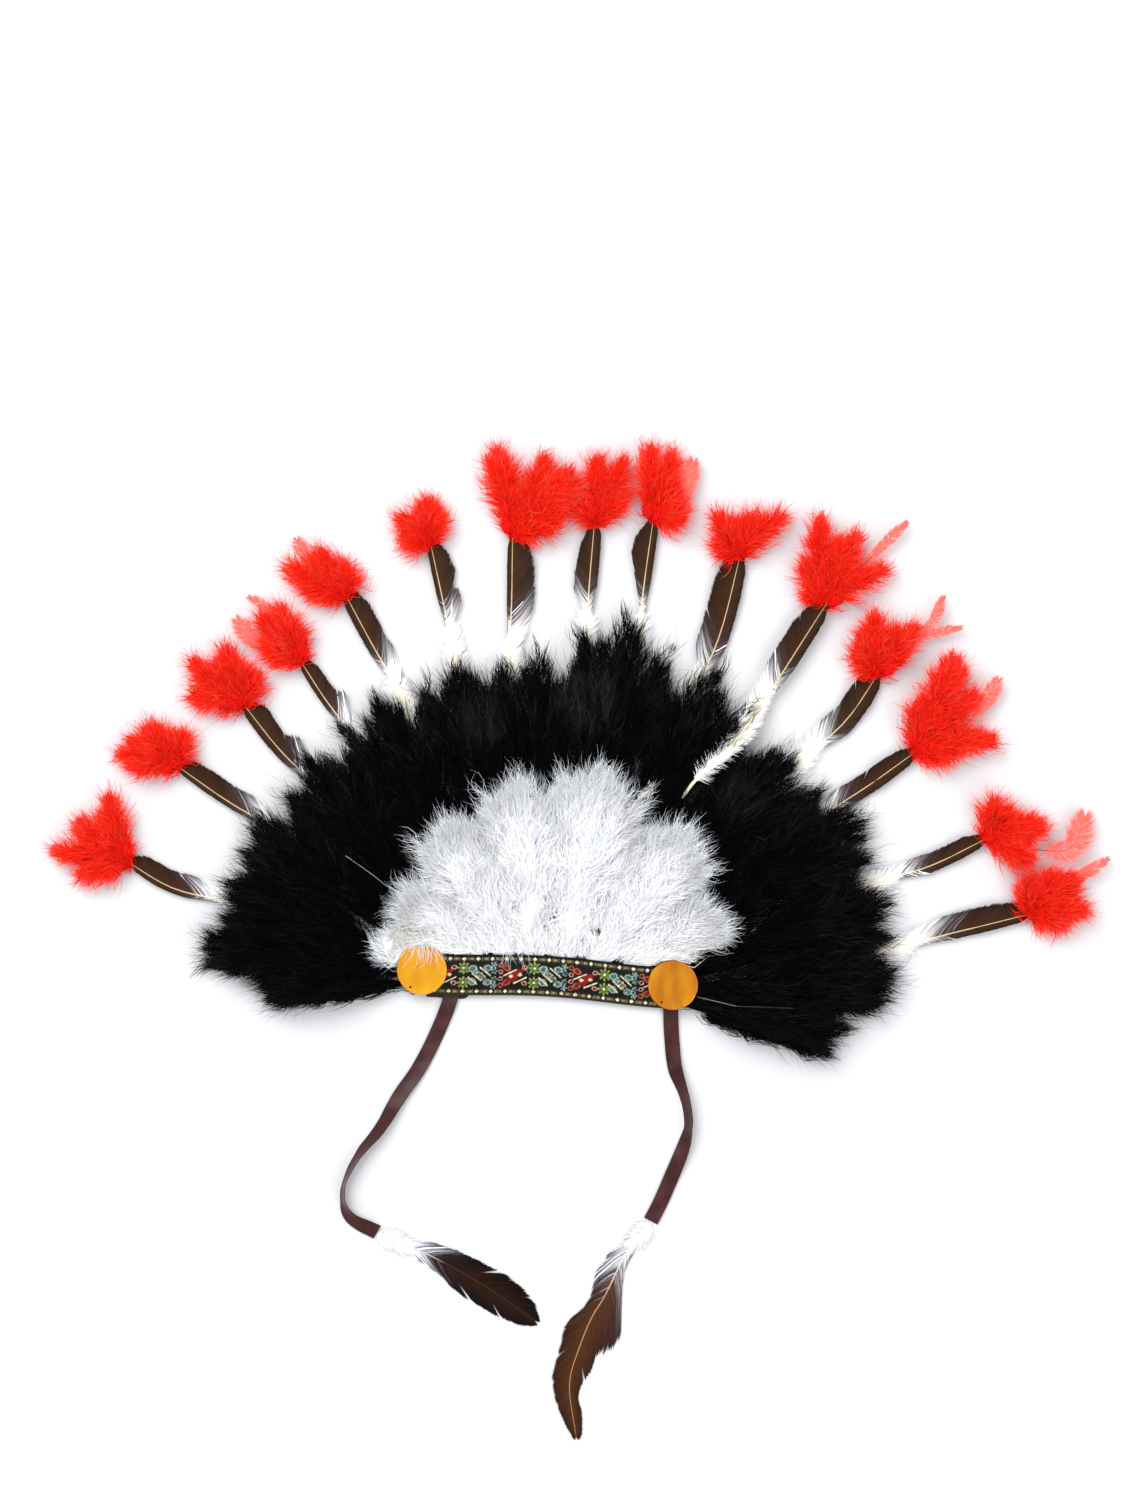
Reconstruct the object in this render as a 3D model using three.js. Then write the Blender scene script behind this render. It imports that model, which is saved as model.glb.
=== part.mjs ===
// Feathered costume headdress lying face up on a table, in millimetres, +Z up.
// X runs along the brow band, Y points to the crown of feathers, and the origin is on the back
// of the backing strip, midway between the two brow discs. The table is the plane Z = 0.
//
// From the table up: backing strip, ribbons and long quills, black plumes, white plumes, brow
// band, discs. A plume or puff is one closed solid: a swollen body with pointed locks round it.

import * as THREE from 'three';

// ---- Driving dimensions ----------------------------------------------------------------------

const GAP = 0.4; // between pieces that touch

const BACKING = {
  halfLength: 80, top: 9, low: -12.5, lip: -18.4, lipEnd: -47.5, lipSlope: 1.5, thick: 1,
};
const BAND = {
  halfLength: 80, width: 27.4, thick: 1.2, midY: 0.6, drop: 3.2, crownZ: 9.8, hemZ: 5.2, rolled: 0.7,
};
const DISC = {
  offset: 83.75, radius: 16.5, thick: 0.8, bottom: 10.3, holeX: -7, holeY: -11.9, holeRadius: 0.8,
};
const RIBBON = { width: 10, thick: 1, floor: 0.4, tuckZ: 1.4, tuckEnd: -19 };

// down is how far the pale base vanes stand out from the shaft, and downLength how far they run.
const QUILL = {
  rootY: 3, rootSpan: 68, rootZ: 2.2, radius: 0.9, shaftRadius: 0.6, rise: 0.6, lift: 6, settle: 1.5,
  down: 8, downLength: 34,
};
const TIE_FEATHER = { ridge: 1.1, floor: 0.2 };

// Each fan of plumes spreads from a flat half ellipse of roots: at a bearing b, the root is at
// (halfLength cos b, midY + height sin b), and the plume leaves it along b.
const BLACK_FAN = { halfLength: 76, height: 12, midY: -8 };
const WHITE_FAN = { halfLength: 58, height: 8, midY: -2 };

const BLACK = {
  rootBottom: 3.4, rootTop: 4.3, underside: 4.9, covered: 8.2, crown: 24, tipZ: 4, edge: 189,
  swell: 30, thinning: 0.74, quillRoom: 12, droopRoom: 20, droopZ: 0.6,
};
const WHITE = {
  rootBottom: 7, rootTop: 7.9, underside: 13, crown: 34, tipZ: 18, edge: 176, swell: 0.5, thinning: 0.6,
  lifting: 0.7,
};
const OVER_QUILL = { rootZ: 5.2, coveredZ: 9.7, crestRoom: 1.6 };
const BROW_RISE = 16; // how far past the band and discs the layers take to rise to full height
const BROW_REACH = 70; // farther than this from the roots, every plume is clear of the brow
const EDGE_SHARES = [0.8, 1];
const BROW_ROOM = 0.7;

// A plume's body ends at bodyEnd of its reach and fills rootShare, then tipShare, of its wedge.
// Its locks leave the sides between lowEdge and topEdge of the height, and sweep outwards.
const PLUME = {
  locks: 9, bodyEnd: 0.84, spacing: 0.9, rootShare: 0.92, tipShare: 0.66, narrowFrom: 0.2,
  topEdge: 0.78, lowEdge: 0.1, thinnest: 0.9, uneven: 0.04,
};
const LOCK = { rootSweep: 0.4, tipSweep: 1.5, unevenSweep: 0.2, share: 0.96, unevenShare: 0.03 };

// A puff's mound stands at moundAt of its reach, and notches at notchAt divide its locks.
const PUFF = {
  bottom: 0.3, crown: 20, side: 12, skirt: 1.2, shoulder: 35, shoulderReach: 0.45, locks: 14,
  moundAt: 0.42, notchAt: 0.74, start: 2, lockZ: 2.5, lockStep: 2.2,
};

const STEPS = {
  bandLength: 20, bandWidth: 5, disc: 28, hole: 8, ribbon: 26, tieFeather: 16, quill: 4,
  crossingQuill: 40, crossingCourse: 90, quillPath: 60, halvings: 24,
};

const COLOURS = {
  black: 0x0b0b0d,
  white: 0xe6e8ee,
  red: 0xf53a1e,
  vane: 0x43332c,
  ribbon: 0x46282a,
  band: 0x2a2b26,
  disc: 0xe09a12,
};

// ---- Tables ----------------------------------------------------------------------------------

// Outer feathers from left to right. inner, middle and tip are where the shaft passes. vane is
// the dark vane's length back from the tip, left and right are its widths seen from the root.
const OUTER_FEATHERS = [
  { inner: [-207, 36], middle: [-253, 44], tip: [-282, 59], vane: 57, left: 3, right: 14 },
  { inner: [-187, 87], middle: [-218, 103], tip: [-254, 125], vane: 62, left: 3, right: 10 },
  { inner: [-159, 115], middle: [-187, 140], tip: [-212, 168], vane: 58, left: 5, right: 10 },
  { inner: [-134, 147], middle: [-156, 172], tip: [-176, 199], vane: 45, left: 4, right: 11 },
  { inner: [-109, 182], middle: [-128, 211], tip: [-149, 245], vane: 53, left: 5, right: 8 },
  { inner: [-68, 188], middle: [-83, 240], tip: [-95, 283], vane: 49, left: 5, right: 9 },
  { inner: [-38, 210], middle: [-39, 249], tip: [-41, 291], vane: 59, left: 3, right: 13 },
  { inner: [12, 226], middle: [12, 259], tip: [13, 303], vane: 52, left: 9, right: 5 },
  { inner: [46, 228], middle: [49, 272], tip: [52, 308], vane: 55, left: 10, right: 3 },
  { inner: [84, 190], middle: [100, 231], tip: [111, 287], vane: 78, left: 13, right: 6 },
  { inner: [86, 131], middle: [118, 169], tip: [169, 257], vane: 62, left: 11, right: 5, over: [9, 10] },
  { inner: [159, 153], middle: [188, 182], tip: [207, 214], vane: 56, left: 10, right: 7 },
  { inner: [178, 119], middle: [207, 141], tip: [235, 164], vane: 68, left: 7, right: 6 },
  { inner: [217, 77], middle: [250, 89], tip: [285, 109], vane: 56, left: 7, right: 5 },
  { inner: [227, 33], middle: [273, 47], tip: [318, 61], vane: 70, left: 11, right: 3 },
];

// Red puffs at the feather tips: the bearing of the middle lobe, the turn from it to the two
// side lobes, and how far the three lobes reach from the tip.
const RED_TIPS = [
  { bearing: 155, spread: 36, left: 38, middle: 57, right: 52 },
  { bearing: 137, spread: 40, left: 46, middle: 38, right: 28 },
  { bearing: 135, spread: 38, left: 43, middle: 52, right: 38 },
  { bearing: 130, spread: 32, left: 36, middle: 47, right: 44 },
  { bearing: 132, spread: 28, left: 50, middle: 40, right: 28 },
  { bearing: 106, spread: 34, left: 32, middle: 36, right: 28 },
  { bearing: 80, spread: 30, left: 44, middle: 66, right: 50 },
  { bearing: 82, spread: 28, left: 28, middle: 52, right: 32 },
  { bearing: 90, spread: 30, left: 34, middle: 53, right: 42 },
  { bearing: 92, spread: 34, left: 37, middle: 38, right: 46 },
  { bearing: 75, spread: 26, left: 62, middle: 60, right: 60 },
  { bearing: 74, spread: 36, left: 36, middle: 46, right: 46 },
  { bearing: 38, spread: 38, left: 64, middle: 62, right: 44 },
  { bearing: 22, spread: 34, left: 34, middle: 56, right: 40 },
  { bearing: 30, spread: 36, left: 40, middle: 56, right: 30 },
];

// Plumes from left to right: the bearing of the shaft, its reach past the root, and how far
// from the root the white fan covers it.
const BLACK_PLUMES = [
  { bearing: 184, reach: 110, bare: 34 },
  { bearing: 174, reach: 152, bare: 56 },
  { bearing: 160, reach: 150, bare: 66 },
  { bearing: 146, reach: 164, bare: 74 },
  { bearing: 131, reach: 174, bare: 98 },
  { bearing: 117, reach: 190, bare: 110 },
  { bearing: 105, reach: 202, bare: 124 },
  { bearing: 94, reach: 206, bare: 136 },
  { bearing: 83, reach: 234, bare: 138 },
  { bearing: 70, reach: 214, bare: 130 },
  { bearing: 56, reach: 186, bare: 114 },
  { bearing: 40, reach: 184, bare: 96 },
  { bearing: 24, reach: 164, bare: 78 },
  { bearing: 8, reach: 154, bare: 34 },
  { bearing: -7, reach: 118, bare: 20 },
];

const WHITE_PLUMES = [
  { bearing: 160, reach: 67 },
  { bearing: 137, reach: 73 },
  { bearing: 116, reach: 106 },
  { bearing: 98, reach: 127 },
  { bearing: 82, reach: 137 },
  { bearing: 60, reach: 116 },
  { bearing: 37, reach: 89 },
];

// Ribbon routes from behind the band to the tie feather. roll turns the strip from lying flat
// (0) to standing on its edge (90).
const LEFT_ROUTE = [
  { x: -63, y: -6, roll: 0 },
  { x: -64, y: -18.5, roll: 0 },
  { x: -73, y: -46, roll: 0 },
  { x: -83, y: -68, roll: 5 },
  { x: -94, y: -86, roll: 18 },
  { x: -105.5, y: -108, roll: 40 },
  { x: -119, y: -127, roll: 66 },
  { x: -127, y: -146, roll: 72 },
  { x: -127, y: -158, roll: 66 },
  { x: -122, y: -168, roll: 40 },
  { x: -103.5, y: -177.5, roll: 0 },
];

const RIGHT_ROUTE = [
  { x: 83.6, y: -6, roll: 0 },
  { x: 83.6, y: -18.5, roll: 0 },
  { x: 85.5, y: -37, roll: 5 },
  { x: 89, y: -56.5, roll: 18 },
  { x: 95.5, y: -72, roll: 50 },
  { x: 99.5, y: -86, roll: 60 },
  { x: 100, y: -96, roll: 60 },
  { x: 97, y: -110, roll: 25 },
  { x: 91.5, y: -126.5, roll: 5 },
  { x: 84, y: -147, roll: 0 },
  { x: 78.7, y: -159, roll: 0 },
];

// Tie feathers: the shaft's course from the ribbon, and the widths of the vane along it.
const LEFT_TIE_FEATHER = {
  shaft: [[-103, -178.4], [-90, -183], [-67, -191], [-37, -205], [-18, -215.5], [4.6, -229.8]],
  vane: [
    { along: 0, left: 1.2, right: 1.2 },
    { along: 12, left: 4, right: 3 },
    { along: 30, left: 8, right: 5 },
    { along: 45, left: 11, right: 10 },
    { along: 60, left: 10, right: 14 },
    { along: 80, left: 10, right: 13 },
    { along: 97, left: 11, right: 11 },
    { along: 110, left: 8, right: 6 },
    { along: 119, left: 0.6, right: 0.6 },
  ],
};

const RIGHT_TIE_FEATHER = {
  shaft: [[78.4, -160.2], [63.5, -182], [50.5, -212], [43.5, -225], [36.5, -245], [31, -270], [37.3, -304.7]],
  vane: [
    { along: 0, left: 1.2, right: 1.2 },
    { along: 14, left: 4, right: 5 },
    { along: 28, left: 6, right: 8 },
    { along: 45, left: 10, right: 9 },
    { along: 60, left: 17, right: 8 },
    { along: 75, left: 20, right: 7 },
    { along: 92, left: 19, right: 8 },
    { along: 110, left: 15, right: 11 },
    { along: 126, left: 12, right: 8 },
    { along: 140, left: 9, right: 4 },
    { along: 147, left: 0.6, right: 0.6 },
  ],
};

// ---- Shared geometry -------------------------------------------------------------------------

const radians = THREE.MathUtils.degToRad;
const { lerp, clamp, smoothstep } = THREE.MathUtils;

// A closed surface put together from corners and flat faces.
class Surface {
  constructor() {
    this.corners = [];
    this.triangles = [];
  }

  corner(x, y, z) {
    this.corners.push(x, y, z);
    return this.corners.length / 3 - 1;
  }

  // A face with its corners anticlockwise as seen from outside, or clockwise if flipped.
  face(corners, flipped = false) {
    const [first, ...rest] = flipped ? [...corners].reverse() : corners;
    for (let i = 0; i + 1 < rest.length; i += 1) {
      this.triangles.push(first, rest[i], rest[i + 1]);
    }
  }

  geometry() {
    const geometry = new THREE.BufferGeometry();
    geometry.setAttribute('position', new THREE.Float32BufferAttribute(this.corners, 3));
    geometry.setIndex(this.triangles);
    geometry.computeVertexNormals();
    return geometry;
  }
}

// Repeatable unevenness between -1 and 1.
function ripple(index, seed) {
  const wave = Math.sin(index * 12.9898 + seed * 78.233) * 43758.5453;
  return 2 * (wave - Math.floor(wave)) - 1;
}

// The value of a table's column where its first column reaches the given distance.
function lookUp(rows, column, along) {
  const after = rows.findIndex((row) => row.along >= along);
  if (after <= 0) {
    return rows[after === 0 ? 0 : rows.length - 1][column];
  }
  const [from, to] = [rows[after - 1], rows[after]];
  return lerp(from[column], to[column], (along - from.along) / (to.along - from.along));
}

// Joins rings with the same number of corners into one closed skin. Each ring runs anticlockwise
// as seen by someone who looks along the piece from its start.
function skin(rings) {
  const surface = new Surface();
  const loops = rings.map((ring) => ring.map((p) => surface.corner(p.x, p.y, p.z)));
  for (let i = 0; i + 1 < loops.length; i += 1) {
    loops[i].forEach((corner, k) => {
      const next = (k + 1) % loops[i].length;
      surface.face([corner, loops[i + 1][k], loops[i + 1][next], loops[i][next]]);
    });
  }
  surface.face(loops[0]);
  surface.face(loops[loops.length - 1], true);
  return surface.geometry();
}

// The level unit vector to the left of a curve.
function leftOf(curve, t) {
  const along = curve.getTangentAt(t);
  return new THREE.Vector3(-along.y, along.x, 0).normalize();
}

function curveThrough(points) {
  return new THREE.CatmullRomCurve3(points, false, 'centripetal');
}

// ---- Band, backing, discs and ribbons --------------------------------------------------------

// The band bows up a little in the middle, and its lower edge rolls down over the roots.
function bandMiddle(x) {
  return BAND.midY - BAND.drop * Math.sin((Math.PI / 2) * clamp(x / BAND.halfLength, -1, 1)) ** 2;
}

function bandFaceZ(across) {
  return lerp(BAND.hemZ, BAND.crownZ, Math.sin((Math.PI / 2) * clamp(across / BAND.rolled, 0, 1)));
}

// How far a place lies outside the band and both discs: 0 beneath them.
function pastBrow({ x, y }) {
  const { halfLength, width } = BAND;
  const pastBand = Math.hypot(
    Math.max(Math.abs(x) - halfLength, 0),
    Math.max(Math.abs(y - bandMiddle(x)) - width / 2, 0),
  );
  const pastDisc = Math.hypot(Math.abs(x) - DISC.offset, y) - DISC.radius;
  return Math.max(Math.min(pastBand, pastDisc), 0);
}

// The height between a root layer's level under the brow and its level in the open fan.
function layerZ(place, rootLevel, openLevel) {
  return lerp(rootLevel, openLevel, Math.min(pastBrow(place) / BROW_RISE, 1));
}

// The highest a layer may stand at a place, under the band.
function ceilingAt({ x, y }) {
  const across = (y - bandMiddle(x)) / BAND.width + 0.5;
  const covered = Math.abs(x) < BAND.halfLength + 1 && across > -0.05 && across < 1.05;
  return covered ? bandFaceZ(across) - BAND.thick - GAP : Infinity;
}

function backingGeometry() {
  const { halfLength, top, low, lip, lipEnd, lipSlope, thick } = BACKING;
  const outline = new THREE.Shape([
    new THREE.Vector2(-halfLength, lip),
    new THREE.Vector2(lipEnd, lip),
    new THREE.Vector2(lipEnd - lipSlope, low),
    new THREE.Vector2(halfLength, low),
    new THREE.Vector2(halfLength, top),
    new THREE.Vector2(-halfLength, top),
  ]);
  return new THREE.ExtrudeGeometry(outline, { depth: thick, bevelEnabled: false });
}

function bandGeometry() {
  const { halfLength, width, thick } = BAND;
  const rings = [];
  for (let i = 0; i <= STEPS.bandLength; i += 1) {
    const x = lerp(-halfLength, halfLength, i / STEPS.bandLength);
    const face = [];
    for (let k = 0; k <= STEPS.bandWidth; k += 1) {
      const across = k / STEPS.bandWidth;
      const y = bandMiddle(x) + (across - 0.5) * width;
      face.push(new THREE.Vector3(x, y, bandFaceZ(across)));
    }
    const back = face.map((p) => new THREE.Vector3(p.x, p.y, p.z - thick)).reverse();
    rings.push([...back, ...face]);
  }
  return skin(rings);
}

function discGeometry() {
  const { radius, thick, holeX, holeY, holeRadius } = DISC;
  const ringOf = (centreX, centreY, size, sides) =>
    Array.from({ length: sides }, (_, i) => {
      const turn = (2 * Math.PI * i) / sides;
      return new THREE.Vector2(centreX + size * Math.cos(turn), centreY + size * Math.sin(turn));
    });
  const outline = new THREE.Shape(ringOf(0, 0, radius, STEPS.disc));
  outline.holes.push(new THREE.Path(ringOf(holeX, holeY, holeRadius, STEPS.hole)));
  return new THREE.ExtrudeGeometry(outline, { depth: thick, bevelEnabled: false });
}

function ribbonGeometry(route) {
  const { width, thick, floor, tuckZ, tuckEnd } = RIBBON;
  const centres = route.map(({ x, y, roll }) => {
    const edgeRise = (width / 2) * Math.sin(radians(roll)) + (thick / 2) * Math.cos(radians(roll));
    const base = y > tuckEnd ? tuckZ : floor;
    return new THREE.Vector3(x, y, base + edgeRise);
  });
  const curve = curveThrough(centres);
  const rolls = curveThrough(route.map(({ roll }, i) => new THREE.Vector3(i, roll, 0)));
  const rings = [];
  for (let i = 0; i <= STEPS.ribbon; i += 1) {
    const t = i / STEPS.ribbon;
    const roll = radians(rolls.getPoint(curve.getUtoTmapping(t)).y);
    const left = leftOf(curve, t);
    const across = left.clone().multiplyScalar(Math.cos(roll)).setZ(Math.sin(roll));
    const normal = left.clone().multiplyScalar(-Math.sin(roll)).setZ(Math.cos(roll));
    const centre = curve.getPointAt(t);
    const place = (side, face) =>
      centre
        .clone()
        .addScaledVector(across, (side * width) / 2)
        .addScaledVector(normal, (face * thick) / 2);
    rings.push([place(1, 1), place(1, -1), place(-1, -1), place(-1, 1)]);
  }
  return skin(rings);
}

// ---- Feathers --------------------------------------------------------------------------------

// A shaft with a vane on each side: every section is a flat diamond with the shaft as its ridge.
function featherGeometry(curve, sections, ridge) {
  const rings = sections.map(({ t, left, right }) => {
    const centre = curve.getPointAt(t);
    const side = leftOf(curve, t);
    return [
      centre.clone().addScaledVector(side, left),
      centre.clone().setZ(centre.z - ridge),
      centre.clone().addScaledVector(side, -right),
      centre.clone().setZ(centre.z + ridge),
    ];
  });
  return skin(rings);
}

// How high the black fan stands over a plume's shaft: low under the white fan, swollen where
// it comes out, and thin at the tip.
function blackCrest(place, distance, { bare, reach }) {
  const { rootTop, covered, crown, tipZ, swell, thinning } = BLACK;
  const under = layerZ(place, rootTop, covered);
  const bulge = lerp(under, crown, smoothstep(distance, bare, bare + swell));
  return lerp(bulge, tipZ, smoothstep(distance, reach * thinning, reach));
}

// Quills run under the black plumes, except one that comes out between the two fans and lies
// on the black one.
function outerFeatherCurve(row, index) {
  const { rootSpan, rootY, rootZ, rise, lift, settle } = QUILL;
  const root = [lerp(-rootSpan, rootSpan, index / (OUTER_FEATHERS.length - 1)), rootY];
  const stops = [root, row.inner, row.middle, row.tip];
  if (!row.over) {
    const heights = [rootZ, rootZ + rise, lift - settle, lift];
    return curveThrough(stops.map(([x, y], i) => new THREE.Vector3(x, y, heights[i])));
  }
  const plan = curveThrough(stops.map(([x, y]) => new THREE.Vector3(x, y, 0)));
  const plumes = row.over.map((i) => BLACK_PLUMES[i]);
  const steps = STEPS.crossingCourse;
  const stations = Array.from({ length: steps + 1 }, (_, i) => {
    const place = plan.getPointAt(i / steps);
    const distance = fanDistance(BLACK_FAN, place);
    const crest = Math.max(...plumes.map((plume) => blackCrest(place, distance, plume)));
    const covered = layerZ(place, OVER_QUILL.rootZ, OVER_QUILL.coveredZ);
    return place.setZ(Math.max(covered, crest + OVER_QUILL.crestRoom, lift));
  });
  return curveThrough(stations);
}

// The widths beside an outer feather's shaft: the dark vane's from its blunt tip on, then those
// of the pale down that narrows to the bare quill.
function outerFeatherGeometry(row, index) {
  const curve = outerFeatherCurve(row, index);
  const length = curve.getLength();
  const { vane, left, right } = row;
  const { radius, shaftRadius, down, downLength } = QUILL;
  const wideLeft = left > right;
  const downEnd = vane + downLength;
  const sections = [
    { back: 0, left: left * 0.35, right: right * 0.35 },
    { back: 4, left: left * 0.75, right: right * 0.75 },
    { back: vane * 0.3, left, right },
    { back: vane * 0.8, left, right },
    { back: vane, left: wideLeft ? down : left, right: wideLeft ? right : down },
    { back: vane + downLength / 2, left: down, right: down },
    { back: downEnd, left: radius, right: radius },
  ];
  const quillSteps = row.over ? STEPS.crossingQuill : STEPS.quill;
  for (let i = 1; i <= quillSteps; i += 1) {
    const back = lerp(downEnd, length, i / quillSteps);
    sections.push({ back, left: radius, right: radius });
  }
  const fromRoot = sections.map((s) => ({ ...s, t: clamp(1 - s.back / length, 0, 1) })).reverse();
  return featherGeometry(curve, fromRoot, shaftRadius);
}

function tieFeatherGeometry({ shaft, vane }) {
  const { ridge, floor } = TIE_FEATHER;
  const restZ = ridge + floor;
  const curve = curveThrough(shaft.map(([x, y]) => new THREE.Vector3(x, y, restZ)));
  const steps = STEPS.tieFeather;
  const sections = Array.from({ length: steps + 1 }, (_, i) => {
    const along = (vane[vane.length - 1].along * i) / steps;
    return { t: i / steps, left: lookUp(vane, 'left', along), right: lookUp(vane, 'right', along) };
  });
  return featherGeometry(curve, sections, ridge);
}

// ---- Plumes and puffs ------------------------------------------------------------------------

// The place in a fan at a bearing and at a distance from the root.
function fanPoint({ halfLength, height, midY }, bearing, distance) {
  const turn = radians(bearing);
  const x = (halfLength + distance) * Math.cos(turn);
  const y = midY + (height + distance) * Math.sin(turn);
  return new THREE.Vector2(x, y);
}

// How far from the roots a place lies, found by halving the range.
function fanDistance({ halfLength, height, midY }, { x, y }) {
  let near = 0;
  let far = 500;
  for (let i = 0; i < STEPS.halvings; i += 1) {
    const half = (near + far) / 2;
    const outside = Math.hypot(x / (halfLength + half), (y - midY) / (height + half)) > 1;
    [near, far] = outside ? [half, far] : [near, half];
  }
  return near;
}

// The bearings halfway to each plume's neighbours. The outer plumes are as wide outward as
// inward, up to the fan's edge.
function wedges(plumes, firstEdge) {
  return plumes.map((plume, i) => {
    const before = plumes[i - 1];
    const after = plumes[i + 1];
    const from = before ? (before.bearing + plume.bearing) / 2 : firstEdge;
    const to = after ? (after.bearing + plume.bearing) / 2 : 2 * plume.bearing - from;
    return { ...plume, from, to };
  });
}

// How far out the centre (side 0) or an edge of a plume comes clear of the brow.
function browExit(place, side) {
  const shares = side ? EDGE_SHARES : [0];
  const clear = (distance) => shares.every((share) => pastBrow(place(side, share, distance)) > 0);
  let distance = BROW_REACH;
  while (distance > 0 && clear(distance)) {
    distance -= 1;
  }
  return distance + BROW_ROOM;
}

// One plume of a fan. The body runs along the shaft's bearing, and pointed locks leave it on
// both sides, up to the wedge that the plume has to itself.
function plumeGeometry(fan, plume, heights, seed) {
  const { bearing, reach, from, to } = plume;
  const { locks, bodyEnd, spacing, rootShare, tipShare, narrowFrom } = PLUME;
  const surface = new Surface();
  const place = (side, share, distance) =>
    fanPoint(fan, lerp(bearing, side > 0 ? from : to, share), distance);
  const levels = (point, distance) => {
    const top = Math.min(heights.top(point, distance), ceilingAt(point));
    return { top, bottom: Math.min(heights.bottom(point, distance), top - PLUME.thinnest) };
  };
  const exits = new Map([-1, 0, 1].map((side) => [side, browExit(place, side)]));
  const distanceAt = (i, side) =>
    i && lerp(exits.get(side), reach * bodyEnd, ((i - 1) / (locks - 1)) ** spacing);
  const edgeAt = (i, side) => {
    const distance = distanceAt(i, side);
    const body = lerp(rootShare, tipShare, smoothstep(distance / reach, narrowFrom, bodyEnd));
    const notch = place(side, body * (1 + PLUME.uneven * ripple(i, seed + side)), distance);
    const { top, bottom } = levels(notch, distance);
    return {
      distance,
      top: surface.corner(notch.x, notch.y, lerp(bottom, top, PLUME.topEdge)),
      low: surface.corner(notch.x, notch.y, lerp(bottom, top, PLUME.lowEdge)),
    };
  };
  const ring = Array.from({ length: locks + 1 }, (_, i) => {
    const spineDistance = distanceAt(i, 0);
    const spine = place(1, 0, spineDistance);
    const middle = levels(spine, spineDistance);
    const edges = [1, -1].map((side) => edgeAt(i, side));
    return {
      top: surface.corner(spine.x, spine.y, middle.top),
      bottom: surface.corner(spine.x, spine.y, middle.bottom),
      edges,
    };
  });
  for (let i = 0; i < locks; i += 1) {
    const [near, far] = [ring[i], ring[i + 1]];
    const sweep = lerp(LOCK.rootSweep, LOCK.tipSweep, (i / (locks - 1)) ** 3);
    [1, -1].forEach((side, which) => {
      const flipped = side < 0;
      const [inner, outer] = [near.edges[which], far.edges[which]];
      const step = i > 0 ? outer.distance - inner.distance : 0;
      const swept = sweep + LOCK.unevenSweep * ripple(i + 40, seed + side);
      const lockEnd = outer.distance + step * swept;
      const width = place(side, 1, lockEnd).distanceTo(place(side, 0, lockEnd));
      const filled = LOCK.share + LOCK.unevenShare * ripple(i + 80, seed + side);
      const end = place(side, filled * (1 - GAP / 2 / width), lockEnd);
      const endZ = Math.min(heights.lock(end, lockEnd, i, seed + side), ceilingAt(end) - GAP);
      const point = surface.corner(end.x, end.y, endZ);
      surface.face([near.top, far.top, outer.top, inner.top], flipped);
      surface.face([near.bottom, inner.low, outer.low, far.bottom], flipped);
      surface.face([inner.top, outer.top, point], flipped);
      surface.face([inner.low, point, outer.low], flipped);
      surface.face([inner.top, point, inner.low], flipped);
      surface.face([outer.top, outer.low, point], flipped);
    });
  }
  const [first, last] = [ring[0], ring[locks]];
  const [left, right] = first.edges;
  surface.face([first.top, left.top, left.low, first.bottom, right.low, right.top]);
  const end = place(1, 0, reach);
  const point = surface.corner(end.x, end.y, heights.lock(end, reach, locks, seed));
  [false, true].forEach((flipped, which) => {
    const { top, low } = last.edges[which];
    surface.face([last.top, point, top], flipped);
    surface.face([last.bottom, low, point], flipped);
    surface.face([top, point, low], flipped);
  });
  return surface.geometry();
}

const QUILL_PATHS = OUTER_FEATHERS.map((row, i) =>
  outerFeatherCurve(row, i).getSpacedPoints(STEPS.quillPath));

function distanceToQuills(place) {
  const reachOf = (p) => Math.hypot(p.x - place.x, p.y - place.y);
  return Math.min(...QUILL_PATHS.flat().map(reachOf));
}

// Every other outer lock of a black plume droops to the table, where no quill is in its way.
function blackPlumeGeometry(plume, seed) {
  const { rootBottom, underside, quillRoom, droopRoom, droopZ } = BLACK;
  return plumeGeometry(BLACK_FAN, plume, {
    top: (place, distance) => blackCrest(place, distance, plume),
    bottom: (place) => layerZ(place, rootBottom, underside),
    lock: (place, distance, index, side) => {
      const crest = blackCrest(place, Math.min(distance, plume.reach), plume);
      const low = layerZ(place, rootBottom, underside);
      const free = distance > plume.bare + droopRoom && distanceToQuills(place) > quillRoom;
      return free && index % 2 === 0
        ? droopZ + Math.abs(ripple(index, side))
        : lerp(low, Math.max(crest, low + 1), 0.5);
    },
  }, seed);
}

function whitePlumeGeometry(plume, seed) {
  const { rootBottom, rootTop, underside, crown, tipZ, swell, thinning, lifting } = WHITE;
  const { reach } = plume;
  const bottom = (place, distance) => {
    const open = lerp(underside, tipZ, smoothstep(distance, reach * lifting, reach));
    return layerZ(place, rootBottom, open);
  };
  const top = (place, distance) => {
    const swollen = smoothstep(pastBrow(place), 0, reach * swell);
    const rise = Math.max(lerp(rootTop, crown, swollen), bottom(place, distance) + 1);
    return lerp(rise, tipZ + 2, smoothstep(distance, reach * thinning, reach));
  };
  const lock = (place, distance) => {
    const at = Math.min(distance, reach);
    return lerp(bottom(place, at), top(place, at), 0.5);
  };
  return plumeGeometry(WHITE_FAN, plume, { top, bottom, lock }, seed);
}

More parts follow.
